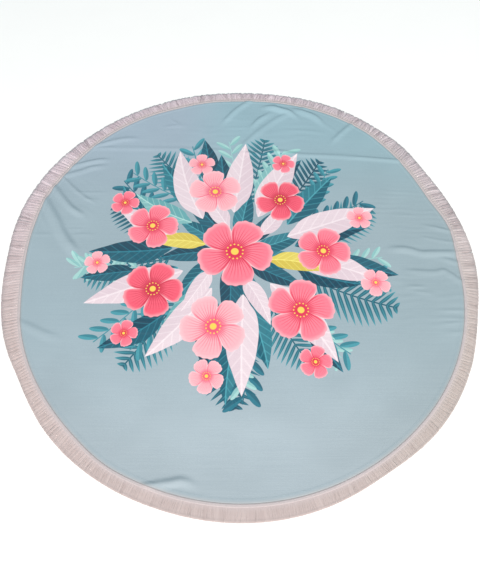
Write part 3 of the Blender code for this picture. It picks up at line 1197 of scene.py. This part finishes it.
@dataclass(frozen=True)
class PlainCotton:
    """An unprinted cotton finish: the cloth's back, the heading tape or sewing thread.

    Attributes:
        name: The material's name.
        colour: The cotton's colour.
        dark: Its colour in the hollows between threads, as painted shade.
        pitch: The pitch of its threads.
        depth: The depth of the hollows.
        roughness: The cotton's roughness.
        sheen: How strongly its nap catches light at a slant.
    """

    name: str
    colour: Colour
    dark: Colour
    pitch: float
    depth: float
    roughness: float = 0.92
    sheen: float = 0.2

    THREAD_BAND = (0.35, 0.65)  # between which values of the noise the painted shade of the hollows gives way to the threads
    THREAD_BUMP = 0.7  # how strongly they stand out

    def make(self) -> bpy.types.Material:
        """Makes the material."""
        cotton = MattMaterial(self.name, self.roughness, self.sheen)
        g = cotton.graph
        thread = g.noise(g.place(), 1.0 / self.pitch)
        # Painted shade in the hollows between the threads.
        colour = g.mix(g.step(thread, *self.THREAD_BAND), self.dark, self.colour)
        return cotton.finished(colour, g.bump(thread, self.THREAD_BUMP, self.depth))


WHITE_BACK, TAPE_COTTON, AQUA_THREAD, PALE_THREAD = (
    PlainCotton("White cotton back", srgb(214, 220, 224), srgb(186, 194, 200), 0.002, 0.0008),
    PlainCotton("Lilac grey cotton tape", srgb(196, 187, 189), srgb(174, 166, 168), 0.0012, 0.0006),
    PlainCotton("Aqua sewing thread", srgb(182, 201, 210), srgb(154, 174, 184), 0.0006, 0.0002),
    PlainCotton("Pale sewing thread", srgb(226, 220, 224), srgb(190, 184, 190), 0.0006, 0.0002),
)


@dataclass(frozen=True)
class FringeCotton:
    """The fringe's soft undyed yarn, uneven from lock to lock, and most so at the far side, with painted
    light and shade: the near side darker and flatter.

    Attributes:
        near: The darkest and the lightest yarn at the near side, darker and flatter as painted shade.
        far: The darkest and the lightest yarn at the far side, spread wider as painted light and shade.
        depth_span: Where the near yarn starts and is done giving way to the far one.
        root: The tone that the roots fall towards.
        root_span: The shares of the yarn's length at which they do so most, and no longer.
        tip_fade: How the yarn darkens towards its cut end.
        tip_span: The shares of the yarn's length at which that starts and is done.
        painted_side_shade: The painted shade that darkens it towards the right side.
        side_span: Where it starts and is done darkening there.
        fibre_pitch: The pitch of the yarns' fibres.
        relief: The fibres' height.
        roughness: The yarn's roughness.
        sheen: How strongly its fibres catch light at a slant.
    """

    near: tuple[Colour, Colour] = (srgb(184, 170, 169), srgb(196, 183, 182))
    far: tuple[Colour, Colour] = (srgb(167, 153, 163), srgb(228, 215, 224))
    depth_span: Span = (-0.4, 0.5)
    root: Colour = srgb(197, 186, 188)
    root_span: Span = (0.0, 0.4)
    tip_fade: Colour = (0.86, 0.87, 0.88)
    tip_span: Span = (0.65, 0.95)
    painted_side_shade: Colour = (0.92, 0.96, 0.93)
    side_span: Span = (0.1, 0.6)
    fibre_pitch: float = 1.0 / 1400.0
    relief: float = 0.0004
    roughness: float = 0.95
    sheen: float = 0.3

    ROOT_COVER = 0.7
    FIBRE_BAND = (0.3, 0.6)  # between which values of the noise the painted shade between the fibres ends
    FIBRE_COVER = 0.2
    FIBRE_BUMP = 0.5  # how strongly the fibres stand out

    def make(self) -> bpy.types.Material:
        """Makes the material."""
        cotton = MattMaterial("Pale pink cotton yarn", self.roughness, self.sheen)
        g = cotton.graph
        tone = g.attribute("tone")
        along = g.attribute("along")
        place = g.place()
        across, depth, _ = g.split(place)
        fibre = g.noise(place, 1.0 / self.fibre_pitch)
        far_share = g.step(depth, *self.depth_span)
        # Painted light and shade: the near yarn darker and flatter, the far yarn's tones spread wider.
        colour = g.mix(far_share, g.mix(tone, *self.near), g.mix(tone, *self.far))
        colour = g.mix(g.fade(along, *self.root_span, self.ROOT_COVER), colour, self.root)
        # Painted shade in the hollows between the fibres.
        colour = g.mix(g.fade(fibre, *self.FIBRE_BAND, self.FIBRE_COVER), colour, self.near[0])
        colour = g.tinted(colour, self.tip_fade, g.step(along, *self.tip_span))
        # Painted shade towards the right side.
        colour = g.tinted(colour, self.painted_side_shade, g.step(across, *self.side_span))
        return cotton.finished(colour, g.bump(fibre, self.FIBRE_BUMP, self.relief))


# ---------------------------------------------------------------- pieces


def finish_piece(name: str, mesh: bpy.types.Mesh, slot: str, *nodes: str) -> bpy.types.Object:
    """Makes a mesh a piece of the towel.

    Args:
        name: The piece's name.
        mesh: Its mesh, in place.
        slot: The material slot; not used.
        nodes: The frame's solids that it stands for.

    Returns:
        The piece's object.
    """
    piece = bpy.data.objects.new(name, mesh)
    bpy.context.collection.objects.link(piece)
    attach(piece, BODY)
    if nodes:
        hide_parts(*nodes)
    triangles = sum(len(polygon.vertices) - 2 for polygon in mesh.polygons)
    log.info("%s: %d triangles", name, triangles)
    return piece


@dataclass
class ClothSheet:
    """The round cloth with its turned hem: a fine upper face over a coarser underside.

    Attributes:
        shape: How the cloth is laid.
        upper_rings: The upper face's rings of faces from the middle to the edge.
        lower_rings: Those of the underside.
        lower_share: The share of a fold's height that the underside follows.
        nominal_radius: The radius of the round that the cloth is cut to.
    """

    shape: LaidShape
    upper_rings: int = 148
    lower_rings: int = 48
    lower_share: float = 0.6
    nominal_radius: float = 0.70

    # The upper face at the hem, from the edge inwards: distance inside the edge, and height.
    HEM_SECTION = (
        (0.0000, 0.0018),
        (0.0005, 0.0024),
        (0.0014, 0.0028),
        (0.0030, 0.0030),
        (0.0050, 0.0031),
        (0.0072, 0.0031),
        (0.0090, 0.0030),
        (0.0104, 0.0028),
        (0.0120, 0.0026),
        (0.0145, 0.0025),
        (0.0180, 0.0025),
    )
    PUCKER = 0.00016  # how much the hem swells and sinks along the edge
    PUCKER_WAVES = 190
    PUCKER_DRIFT = (3.0, 17.0)  # how far those waves drift, and how often
    PUCKER_SPAN = (0.002, 0.012)  # where the pucker is fully risen, and where it has gone
    WALL = 0.0006  # how far the face turns down at the very edge
    LOWER_START = 0.004  # how far inside the edge the underside starts
    # Where each side's finished colours are laid out on a square of side 1: middle and radius.
    UPPER_LAYOUT = (0.5, 0.4945)
    LOWER_LAYOUT = (0.082, 0.078)
    WALL_LAYOUT = (0.918, 0.078)
    WALL_FOOT = 0.64  # the wall's lower edge in its layout, as a share of the radius

    def spread(
        self, verts: Sequence[bmesh.types.BMVert], insets: np.ndarray
    ) -> tuple[np.ndarray, np.ndarray]:
        """Finds where the points of a square grid lie when it is laid out as rings.

        Args:
            verts: The grid's points, from -1 to 1 both ways.
            insets: The distance of each ring inside the edge, from the edge to the middle.

        Returns:
            The points' places on the towel, and their distances inside the edge.
        """
        u, v = np.array([vert.co.xy for vert in verts]).T
        flat = np.abs(u) >= np.abs(v)
        most = np.where(flat, u, v)
        least = np.where(flat, v, u)
        share = np.divide(least, most, out=np.zeros_like(most), where=np.abs(most) > 1e-9)
        turn = 0.25 * math.pi * share
        bearing = np.where(flat, turn, 0.5 * math.pi - turn) + np.where(most < 0.0, math.pi, 0.0)
        ring = np.rint((1.0 - np.abs(most)) * (len(insets) - 1)).astype(int)
        inset = insets[ring]
        places = self.shape.along_edge(bearing) * (1.0 - inset / self.nominal_radius)[:, None]
        return places, inset

    def add_side(
        self,
        bm: bmesh.types.BMesh,
        insets: np.ndarray,
        height: Callable[[np.ndarray, np.ndarray], np.ndarray],
    ) -> list[bmesh.types.BMEdge]:
        """Adds one side of the cloth as a grid laid out in rings.

        Args:
            bm: The cloth.
            insets: The distance of each ring inside the edge, from the edge to the middle.
            height: Gives the points' heights from their places and distances inside the edge.

        Returns:
            The side's outer edges.
        """
        steps = 2 * (len(insets) - 1)
        verts = bmesh.ops.create_grid(bm, x_segments=steps, y_segments=steps, size=1.0)["verts"]
        places, inset = self.spread(verts, insets)
        for vert, (x, y), z in zip(verts, places, height(places, inset)):
            vert.co = (x, y, z)
        return list(dict.fromkeys(edge for vert in verts for edge in vert.link_edges if edge.is_boundary))

    def upper_height(self, places: np.ndarray, inset: np.ndarray) -> np.ndarray:
        """The upper face's height at places, some of them on the hem."""
        bearing = np.arctan2(places[:, 1], places[:, 0])
        far, often = self.PUCKER_DRIFT
        risen, gone = self.PUCKER_SPAN
        pucker = self.PUCKER * np.sin(self.PUCKER_WAVES * bearing + far * np.sin(often * bearing))
        pucker *= eased(1.0 - inset / gone) * eased(inset / risen)
        return self.shape.lift(places) + np.interp(inset, *np.array(self.HEM_SECTION).T) + pucker

    def lower_height(self, places: np.ndarray, _inset: np.ndarray) -> np.ndarray:
        """The underside's height at places."""
        return self.lower_share * self.shape.lift(places)

    def build(self, bouquet: Bouquet) -> bpy.types.Object:
        """Makes the cloth.

        Args:
            bouquet: The print on its face.

        Returns:
            The cloth's object.
        """
        bm = bmesh.new()
        self.lay_out(bm, *self.add_shell(bm))
        mesh = mesh_of("printed_cloth", bm)
        layers = self.print_on(mesh, bouquet)
        x, y = points_of(mesh)[:, :2].T
        write_on(mesh, "inset", self.shape.outline.cloth_radius(np.arctan2(y, x)) - np.hypot(x, y))
        mesh.materials.append(PrintedCotton().make(layers))
        mesh.materials.append(WHITE_BACK.make())
        return finish_piece("printed_cloth", mesh, CLOTH_NODE, CLOTH_NODE)

    def add_shell(self, bm: bmesh.types.BMesh) -> list[Sequence[bmesh.types.BMFace]]:
        """Adds the cloth's closed shell.

        Args:
            bm: The cloth.

        Returns:
            The faces of its upper side, of its outer wall and of its underside.
        """
        hem = np.array(self.HEM_SECTION)[:, 0]
        inner = np.linspace(hem[-1], self.nominal_radius, self.upper_rings - len(hem) + 2)[1:]
        upper_edges = self.add_side(bm, np.concatenate([hem, inner]), self.upper_height)
        upper = bm.faces[:]
        grown = bmesh.ops.extrude_edge_only(bm, edges=upper_edges)["geom"]
        for item in grown:
            if isinstance(item, bmesh.types.BMVert):
                item.co.z -= self.WALL
        wall = [item for item in grown if isinstance(item, bmesh.types.BMFace)]
        edges = [item for item in grown if isinstance(item, bmesh.types.BMEdge) and item.is_boundary]
        lower_insets = np.linspace(self.LOWER_START, self.nominal_radius, self.lower_rings + 1)
        edges += self.add_side(bm, lower_insets, self.lower_height)
        bmesh.ops.bridge_loops(bm, edges=edges)
        bm.faces.index_update()
        lower = bm.faces[len(upper) + len(wall) :]
        bmesh.ops.recalc_face_normals(bm, faces=bm.faces)
        return [upper, wall, lower]

    def lay_out(self, bm: bmesh.types.BMesh, upper: list, wall: list, lower: list) -> None:
        """Gives the sides their finishes, and lays them out flat for their finished colours.

        Args:
            bm: The cloth.
            upper: The upper face's faces.
            wall: The faces down the outer edge.
            lower: The underside's faces.
        """
        layer = bm.loops.layers.uv.new("OFBake")
        widest = float(self.shape.outline.cloth.max())
        for faces, (middle, radius), index in (
            (upper, self.UPPER_LAYOUT, 0),
            (wall, self.WALL_LAYOUT, 0),
            (lower, self.LOWER_LAYOUT, 1),
        ):
            for face in faces:
                face.material_index = index
                foot = min(vert.co.z for vert in face.verts)
                for loop in face.loops:
                    spot = loop.vert.co.xy / widest
                    if faces is wall and loop.vert.co.z < foot + 0.5 * self.WALL:
                        spot *= self.WALL_FOOT
                    loop[layer].uv = spot * radius + Vector((middle, middle))

    @staticmethod
    def print_on(mesh: bpy.types.Mesh, bouquet: Bouquet) -> list[tuple[str, Kind]]:
        """Writes each printed motif's own places on the faces that it takes.

        Args:
            mesh: The cloth's mesh.
            bouquet: The print.

        Returns:
            The layers from the lowest up: attribute name and kind.
        """
        count = len(mesh.polygons)
        middles = np.empty(count * 3)
        mesh.polygons.foreach_get("center", middles)
        middles = middles.reshape(-1, 3)[:, :2]
        materials = np.empty(count, dtype=int)
        mesh.polygons.foreach_get("material_index", materials)
        corners = np.empty(len(mesh.loops), dtype=int)
        mesh.loops.foreach_get("vertex_index", corners)
        spots = points_of(mesh)[corners, :2]
        sizes = np.empty(count, dtype=int)
        mesh.polygons.foreach_get("loop_total", sizes)
        face_of_corner = np.repeat(np.arange(count), sizes)
        named = []
        for kind, layers in bouquet.layers(middles).items():
            for number, layer in enumerate(layers):
                name = f"print_{kind.value}_{number}"
                values = np.full((len(corners), 3), (OFF_MOTIF, OFF_MOTIF, 0.0))
                for motif, faces in layer:
                    chosen = (faces & (materials == 0))[face_of_corner]
                    values[chosen, :2] = motif.own_places(spots[chosen])
                    values[chosen, 2] = motif.tint
                write_on(mesh, name, values)
                named.append((name, kind))
        log.info("print: %d layers", len(named))
        return named


@dataclass
class HeadingTape:
    """The fringe's heading: a narrow flat tape sewn round the cloth's edge.

    Attributes:
        shape: How the cloth is laid.
        steps: The steps that it takes round the towel.
    """

    shape: LaidShape
    steps: int = 900

    # Its section, once round: distance outside the cloth's edge, and height.
    SECTION = (
        (0.0003, 0.0011),
        (0.0003, 0.0018),
        (0.0009, 0.0023),
        (0.0032, 0.0024),
        (0.0050, 0.0027),
        (0.0068, 0.0024),
        (0.0084, 0.0025),
        (0.0092, 0.0017),
        (0.0090, 0.0005),
        (0.0048, 0.0002),
    )
    RIBS = 1450
    RIB_HEIGHT = 0.00018
    RIBBED_FROM = 0.002  # the height from which the section's points have ribs

    def build(self) -> bpy.types.Object:
        """Makes the tape: a circle extruded through the section's points and closed on itself."""
        bm = bmesh.new()
        made = bmesh.ops.create_circle(bm, radius=1.0, segments=self.steps)
        loops = [made["verts"]]
        first_edges = edges = bm.edges[:]
        for _ in self.SECTION[1:]:
            grown = bmesh.ops.extrude_edge_only(bm, edges=edges)["geom"]
            loops.append([item for item in grown if isinstance(item, bmesh.types.BMVert)])
            verts = set(loops[-1])
            edges = [e for e in grown if isinstance(e, bmesh.types.BMEdge) and verts.issuperset(e.verts)]
        for loop, (outside, height) in zip(loops, self.SECTION):
            bearings = np.array([math.atan2(vert.co.y, vert.co.x) for vert in loop])
            lift = self.shape.lift_along_edge(bearings, outside)
            ribs = self.RIB_HEIGHT * np.sin(self.RIBS * bearings) * (height > self.RIBBED_FROM)
            for vert, place, low, rib in zip(loop, self.shape.along_edge(bearings, outside), lift, ribs):
                vert.co = (*place, low + height + rib)
        bmesh.ops.bridge_loops(bm, edges=first_edges + edges)
        bmesh.ops.recalc_face_normals(bm, faces=bm.faces)
        mesh = mesh_of("heading_tape", bm)
        mesh.materials.append(TAPE_COTTON.make())
        return finish_piece("heading_tape", mesh, FRINGE_NODE, FRINGE_NODE)


@dataclass(frozen=True)
class Strand:
    """A short closed tube of a few rings, copied many times as yarn or stitch.

    Attributes:
        sides: The tube's sides.
        rings: Its rings of points from end to end.
    """

    sides: int
    rings: int

    def template(self) -> tuple[np.ndarray, np.ndarray, list[tuple[int, ...]]]:
        """Makes one straight tube with the mesh operators.

        Returns:
            Each point's ring and its turn round the tube, and the faces.
        """
        bm = bmesh.new()
        bmesh.ops.create_circle(bm, cap_ends=True, radius=1.0, segments=self.sides)
        face = bm.faces[:][0]
        for _ in range(self.rings - 1):
            face = bmesh.ops.extrude_discrete_faces(bm, faces=[face])["faces"][0]
            bmesh.ops.translate(bm, verts=face.verts[:], vec=(0.0, 0.0, 1.0))
        bmesh.ops.recalc_face_normals(bm, faces=bm.faces)
        bm.verts.index_update()
        spots = np.array([vert.co for vert in bm.verts])
        faces = [tuple(vert.index for vert in face.verts) for face in bm.faces]
        bm.free()
        return np.rint(spots[:, 2]).astype(int), np.arctan2(spots[:, 1], spots[:, 0]), faces

    def copies(self, name: str, paths: np.ndarray, radii: np.ndarray) -> bpy.types.Mesh:
        """Joins many tubes along their own paths in one mesh.

        Args:
            name: The mesh's name.
            paths: The paths' points: path, ring, and place.
            radii: The tubes' radii: path and ring.

        Returns:
            The mesh.
        """
        ring, turn, faces = self.template()
        along = np.gradient(paths, axis=1)
        along /= np.linalg.norm(along, axis=2, keepdims=True)
        left = np.cross((0.0, 0.0, 1.0), along)
        left /= np.linalg.norm(left, axis=2, keepdims=True)
        up = np.cross(along, left)
        spots = paths[:, ring] + radii[:, ring, None] * (
            np.cos(turn)[:, None] * left[:, ring] + np.sin(turn)[:, None] * up[:, ring]
        )
        count = len(ring)
        every = np.arange(len(paths))[:, None] * count
        corners = np.concatenate([np.array(face) for face in faces])
        sizes = np.array([len(face) for face in faces])
        loops = (every + corners).ravel()
        totals = np.tile(sizes, len(paths))
        mesh = bpy.data.meshes.new(name)
        mesh.vertices.add(len(paths) * count)
        mesh.vertices.foreach_set("co", spots.astype(np.float32).ravel())
        mesh.loops.add(len(loops))
        mesh.loops.foreach_set("vertex_index", loops.astype(np.int32))
        mesh.polygons.add(len(totals))
        starts = np.concatenate([[0], np.cumsum(totals)[:-1]])
        mesh.polygons.foreach_set("loop_start", starts.astype(np.int32))
        mesh.update(calc_edges=True)
        mesh.validate()
        mesh.shade_smooth()
        return mesh


@dataclass
class Fringe:
    """The cut fringe: mounded locks of yarn over a bed of straighter yarns, sewn to the heading tape.

    Attributes:
        shape: How the cloth is laid.
        locks: The locks round the towel.
        bed_yarns: The yarns of a lock's width that lie in the bed.
        lock_yarns: The yarns of the lock itself.
        tape_width: The heading tape's width, past which the yarns show.
        yarn_radius: A yarn's radius.
        strand_radius: How far from the towel's middle the locks' widths are counted.
        lean: How far the slow lean of the locks carries a tip sideways.
        heap: How high the yarns of a lock lie on each other.
        seed: The seed of the small chances.
        strand: The tube that a yarn is made from.
    """

    shape: LaidShape
    locks: int = 480
    bed_yarns: int = 5
    lock_yarns: int = 8
    tape_width: float = 0.0086
    yarn_radius: float = 0.0008
    strand_radius: float = 0.71
    lean: float = 0.0042
    heap: float = 0.0020
    seed: int = 3
    strand: Strand = field(default_factory=lambda: Strand(sides=5, rings=8))

    QUARTERS = ("right", "back", "left", "front")
    # How unruly the yarns are half way, and how much more so at the back and less at the front.
    UNRULY = (0.75, 0.45)
    # The waves in which the yarns lean: their span in locks, and how far they drift over what span.
    SLOW_LEAN = (19.0, 2.1, 74.0)
    QUICK_LEAN = (5.2, 1.7, 23.0)
    # The spread of the small chances, in metres.
    LOCK_LEAN = 0.0024
    LOCK_BOW = 0.0011
    YARN_BOW = 0.0003
    ROOT_SPREAD = 0.0001
    TIP_SPREAD = 0.0004
    LOOSENESS = 0.0004
    SHORTER = (0.01, 0.06)  # the share of the fringe's reach by which a yarn ends short of it
    TIP_WIDTH = 1.15  # a lock's width at its tip, as a share of that at its root
    LEAN_POWER = 1.4  # how late along a yarn its lean sets in
    CURL = (0.0002, 0.0012)  # the curl of a straight yarn, and what an unruly one adds
    CURLS = 1.6
    # A mound's height along the yarns: at its ends, what its middle adds, and the span that it shows.
    MOUND = (0.35, 0.65)
    MOUND_SPAN = (0.15, 0.8)
    ROOT_LIFT = 0.4  # the share of the cloth's lift that the roots follow
    THICKNESS = (0.9, 1.1)  # the least and the most share of the yarn's radius that a yarn has
    SWOLLEN = 1.15  # a yarn's width at its tip, as a share of that at its root
    LOCK_TONE = (0.55, 0.20)  # the locks' middle tone and its spread, from 0 dark to 1 light
    YARN_TONE = 0.14  # the spread of the yarns' tones within a lock

    def build(self) -> list[bpy.types.Object]:
        """Makes the fringe as four quarters.

        Returns:
            The quarters' objects.
        """
        finish = FringeCotton().make()
        chance = np.random.default_rng(self.seed)
        lock = np.arange(self.locks)
        quarter = (lock + self.locks // 8) * 4 // self.locks % 4
        return [
            self.quarter(f"fringe_{name}", lock[quarter == number], chance, finish)
            for number, name in enumerate(self.QUARTERS)
        ]

    def ranks(self, locks: int) -> tuple[np.ndarray, np.ndarray]:
        """Sorts the yarns of some locks.

        Args:
            locks: How many locks there are.

        Returns:
            For each yarn 1 if it is the lock's own and 0 if it lies in the bed, and its place across
            the lock, from -0.5 to 0.5.
        """
        parts = (self.bed_yarns, self.lock_yarns)
        rank = np.concatenate([(np.arange(part) + 0.5) / part - 0.5 for part in parts])
        return np.tile(np.repeat((0.0, 1.0), parts), locks), np.tile(rank, locks)

    @staticmethod
    def wave(lock: np.ndarray, span: float, drift: float, drift_span: float) -> np.ndarray:
        """A wave along the fringe, from -1 to 1, whose length drifts."""
        return np.sin(math.tau * lock / span + drift * np.sin(math.tau * lock / drift_span))

    def sideways(
        self, lock: np.ndarray, unruly: np.ndarray, share: np.ndarray, chance: np.random.Generator
    ) -> np.ndarray:
        """How far each yarn runs to the side of its lock's middle.

        Args:
            lock: The lock of each yarn.
            unruly: How unruly each yarn is.
            share: How far along a yarn each ring lies.
            chance: The source of the small chances.

        Returns:
            One distance for each yarn and ring.
        """
        yarns = self.bed_yarns + self.lock_yarns
        count = len(lock)
        locks = count // yarns
        own, rank = self.ranks(locks)
        lean = self.wave(lock, *self.SLOW_LEAN) + own * unruly**2 * self.wave(lock, *self.QUICK_LEAN)
        lean *= self.lean * (0.5 + unruly)
        own_lean = chance.normal(0.0, self.LOCK_LEAN, locks)
        own_bow = chance.normal(0.0, self.LOCK_BOW, locks)
        lean += own * unruly * np.repeat(own_lean, yarns)
        bow = own * unruly * np.repeat(own_bow, yarns) + chance.normal(0.0, self.YARN_BOW, count)
        phase = np.repeat(chance.uniform(0.0, 1.0, locks), yarns)
        place = rank * (math.tau / self.locks * self.strand_radius)
        root = place + chance.normal(0.0, self.ROOT_SPREAD, count)
        tip = place * self.TIP_WIDTH + lean + chance.normal(0.0, self.TIP_SPREAD, count)
        curl = (self.CURL[0] + self.CURL[1] * unruly**2)[:, None]
        curl = curl * np.sin(math.tau * (self.CURLS * share + phase[:, None])) * share
        straight = root[:, None] + (tip - root)[:, None] * share**self.LEAN_POWER
        return straight + (bow[:, None] * np.sin(math.pi * share) + curl)

    def paths(self, locks: np.ndarray, chance: np.random.Generator) -> np.ndarray:
        """Lays the yarns of some locks.

        Args:
            locks: The locks' numbers.
            chance: The source of the small chances.

        Returns:
            The yarns' points: yarn, ring and place.
        """
        lock = np.repeat(locks, self.bed_yarns + self.lock_yarns)
        count = len(lock)
        own, rank = self.ranks(len(locks))
        bearing = (lock + 0.5) * math.tau / self.locks
        unruly = self.UNRULY[0] + self.UNRULY[1] * np.sin(bearing)
        share = np.linspace(0.0, 1.0, self.strand.rings)[None, :]
        sideways = self.sideways(lock, unruly, share, chance)

        edge = self.shape.outline.cloth_radius(bearing)
        reach = self.shape.outline.fringe_radius(bearing) - edge
        reach *= 1.0 - unruly * chance.uniform(*self.SHORTER, count)
        outside = self.tape_width + (reach[:, None] - self.tape_width) * share
        radius = edge[:, None] + outside

        mound = own * unruly * (1.0 - (2.0 * rank) ** 2) * self.heap
        mound += chance.uniform(0.0, self.LOOSENESS, count)
        hump = np.sin(math.pi * np.clip(self.MOUND_SPAN[0] + self.MOUND_SPAN[1] * share, 0.0, 1.0))
        height = self.yarn_radius + mound[:, None] * (self.MOUND[0] + self.MOUND[1] * hump)
        lift = self.shape.lift_along_edge(bearing, 0.0)
        height += self.ROOT_LIFT * lift[:, None] * (1.0 - share) ** 2

        level = np.zeros(count)
        radial = np.stack([np.cos(bearing), np.sin(bearing), level], axis=1)[:, None, :]
        tangent = np.stack([-np.sin(bearing), np.cos(bearing), level], axis=1)[:, None, :]
        paths = radial * radius[:, :, None] + tangent * sideways[:, :, None]
        paths[:, :, 2] = height
        return paths

    def quarter(
        self, name: str, locks: np.ndarray, chance: np.random.Generator, finish: bpy.types.Material
    ) -> bpy.types.Object:
        """Makes the locks of one quarter.

        Args:
            name: The piece's name.
            locks: The locks' numbers.
            chance: The source of the small chances.
            finish: The yarn's material.

        Returns:
            The piece's object.
        """
        yarns = self.bed_yarns + self.lock_yarns
        count = len(locks) * yarns
        paths = self.paths(locks, chance)
        thick = self.yarn_radius * chance.uniform(*self.THICKNESS, count)[:, None]
        mesh = self.strand.copies(name, paths, thick * np.linspace(1.0, self.SWOLLEN, self.strand.rings))
        ring = self.strand.template()[0]
        tone = np.repeat(chance.normal(*self.LOCK_TONE, len(locks)), yarns)
        tone = tone + chance.normal(0.0, self.YARN_TONE, count)
        write_on(mesh, "tone", np.repeat(np.clip(tone, 0.0, 1.0), len(ring)))
        write_on(mesh, "along", np.tile(ring / (self.strand.rings - 1), count))
        mesh.materials.append(finish)
        return finish_piece(name, mesh, FRINGE_NODE, FRINGE_NODE)


@dataclass
class Seam:
    """One line of machine stitches all the way round.

    Attributes:
        name: The piece's name.
        shape: How the cloth is laid.
        slot: The material slot.
        finish: The thread's finish.
        outside: How far outside the cloth's edge the line runs.
        height: The height of the thread's middle over the cloth's underside.
        pitch: The distance from one stitch to the next.
        filled: The share of the pitch that a stitch fills.
        dip: How far a stitch's ends dip into the cloth.
        thread_radius: The thread's radius.
        strand: The tube that a stitch is made from.
    """

    name: str
    shape: LaidShape
    slot: str
    finish: PlainCotton
    outside: float
    height: float
    pitch: float = 0.0036
    filled: float = 0.86
    dip: float = 0.0005
    thread_radius: float = 0.00032
    strand: Strand = field(default_factory=lambda: Strand(sides=5, rings=4))

    def build(self) -> bpy.types.Object:
        """Makes the line."""
        radius = float(self.shape.outline.cloth.mean()) + self.outside
        count = round(math.tau * radius / self.pitch)
        half = 0.5 * math.tau / count * self.filled
        share = np.linspace(-1.0, 1.0, self.strand.rings)
        bearing = np.arange(count)[:, None] * math.tau / count + half * share[None, :]
        places = self.shape.along_edge(bearing.ravel(), self.outside)
        lift = self.shape.lift_along_edge(bearing.ravel(), self.outside)
        paths = np.concatenate([places, lift[:, None]], axis=1).reshape(count, self.strand.rings, 3)
        paths[:, :, 2] += self.height - self.dip * np.abs(share) ** 3
        radii = np.full((count, self.strand.rings), self.thread_radius)
        mesh = self.strand.copies(self.name, paths, radii)
        mesh.materials.append(self.finish.make())
        return finish_piece(self.name, mesh, self.slot)


# ---------------------------------------------------------------- floor, light and camera


@dataclass
class Studio:
    """A plain pale floor under soft light, and the camera of the photograph's view.

    Attributes:
        elevation_deg: The camera's height above the horizon as it looks at the towel.
        distance: From the camera to the towel's middle.
        focal_pixels: The focal length, in the image's pixels.
        image: The image's width and height in pixels.
        towel_middle: Where the towel's middle lies in the image, from its top left corner.
        sensor: The camera's sensor width in millimetres.
        floor_half: Half of the floor's width.
        floor_drop: How far the floor lies under the towel.
        floor_tones: The floor's darkest and lightest tone.
        surround: The light that comes from all round.
        surround_strength: Its strength.
        lamp_place: Where the lamp hangs. It looks at the towel's middle.
        lamp_size: The width of its square face.
        lamp_power: Its power in watts.
        lamp_colour: Its colour.
    """

    elevation_deg: float = 61.2
    distance: float = 1.56
    focal_pixels: float = 486.0
    image: tuple[int, int] = (480, 587)
    towel_middle: tuple[float, float] = (241.0, 258.6)
    sensor: float = 36.0
    floor_half: float = 6.0
    floor_drop: float = 0.0004
    floor_tones: tuple[float, float] = (0.94, 0.96)
    surround: Colour = (0.88, 1.0, 1.03)
    surround_strength: float = 0.68
    lamp_place: tuple[float, float, float] = (0.9, -6.8, 4.5)
    lamp_size: float = 2.0
    lamp_power: float = 740.0
    lamp_colour: Colour = (1.0, 0.87, 0.80)

    def camera(self) -> None:
        """Sets the camera up."""
        data = bpy.data.cameras.new("camera")
        long_side = max(self.image)
        data.sensor_width = self.sensor
        data.lens = data.sensor_width * self.focal_pixels / long_side
        data.shift_x = (0.5 * self.image[0] - self.towel_middle[0]) / long_side
        data.shift_y = (self.towel_middle[1] - 0.5 * self.image[1]) / long_side
        camera = bpy.data.objects.new("camera", data)
        rise = math.radians(self.elevation_deg)
        camera.location = (0.0, -self.distance * math.cos(rise), self.distance * math.sin(rise))
        camera.rotation_euler = Euler((0.5 * math.pi - rise, 0.0, 0.0))
        bpy.context.collection.objects.link(camera)
        bpy.context.scene.camera = camera

    def floor(self) -> None:
        """Lays the floor."""
        bm = bmesh.new()
        bmesh.ops.create_grid(bm, x_segments=4, y_segments=4, size=self.floor_half)
        bmesh.ops.translate(bm, verts=bm.verts, vec=(0.0, 0.0, -self.floor_drop))
        mesh = mesh_of("floor", bm)
        pale = MattMaterial("Pale floor", 0.9)
        cloudy = pale.graph.noise(pale.graph.place(), 6.0)
        dark, light = ((tone,) * 3 for tone in self.floor_tones)
        mesh.materials.append(pale.finished(pale.graph.mix(cloudy, dark, light)))
        floor = bpy.data.objects.new("floor", mesh)
        bpy.context.collection.objects.link(floor)

    def light(self) -> None:
        """Sets up a white surround and one soft lamp in front of the towel."""
        world = bpy.data.worlds.new("surround")
        world.use_nodes = True
        background = world.node_tree.nodes["Background"]
        background.inputs[0].default_value = (*self.surround, 1.0)
        background.inputs[1].default_value = self.surround_strength
        bpy.context.scene.world = world
        data = bpy.data.lights.new("soft_lamp", "AREA")
        data.shape = "SQUARE"
        data.size = self.lamp_size
        data.energy = self.lamp_power
        data.color = self.lamp_colour
        lamp = bpy.data.objects.new("soft_lamp", data)
        lamp.location = self.lamp_place
        lamp.rotation_euler = (-lamp.location).to_track_quat("-Z", "Y").to_euler()
        bpy.context.collection.objects.link(lamp)
        bpy.context.scene.view_settings.view_transform = "Standard"


def main() -> None:
    """Builds the towel piece by piece, then the studio round it."""
    logging.basicConfig(level=logging.INFO, format="%(name)s: %(message)s")
    studio = Studio()
    studio.camera()
    shape = LaidShape(TowelOutline.from_frame())
    cloth = ClothSheet(shape)
    printed_cloth = cloth.build(Bouquet())
    hem = Seam("hem_stitches", shape, CLOTH_NODE, AQUA_THREAD, outside=-0.0102, height=0.0028)
    tape = Seam("tape_stitches", shape, FRINGE_NODE, PALE_THREAD, outside=0.0032, height=0.0026)
    trim = [HeadingTape(shape).build(), *Fringe(shape).build(), hem.build(), tape.build()]
    studio.floor()
    studio.light()


if __name__ == "__main__":
    main()
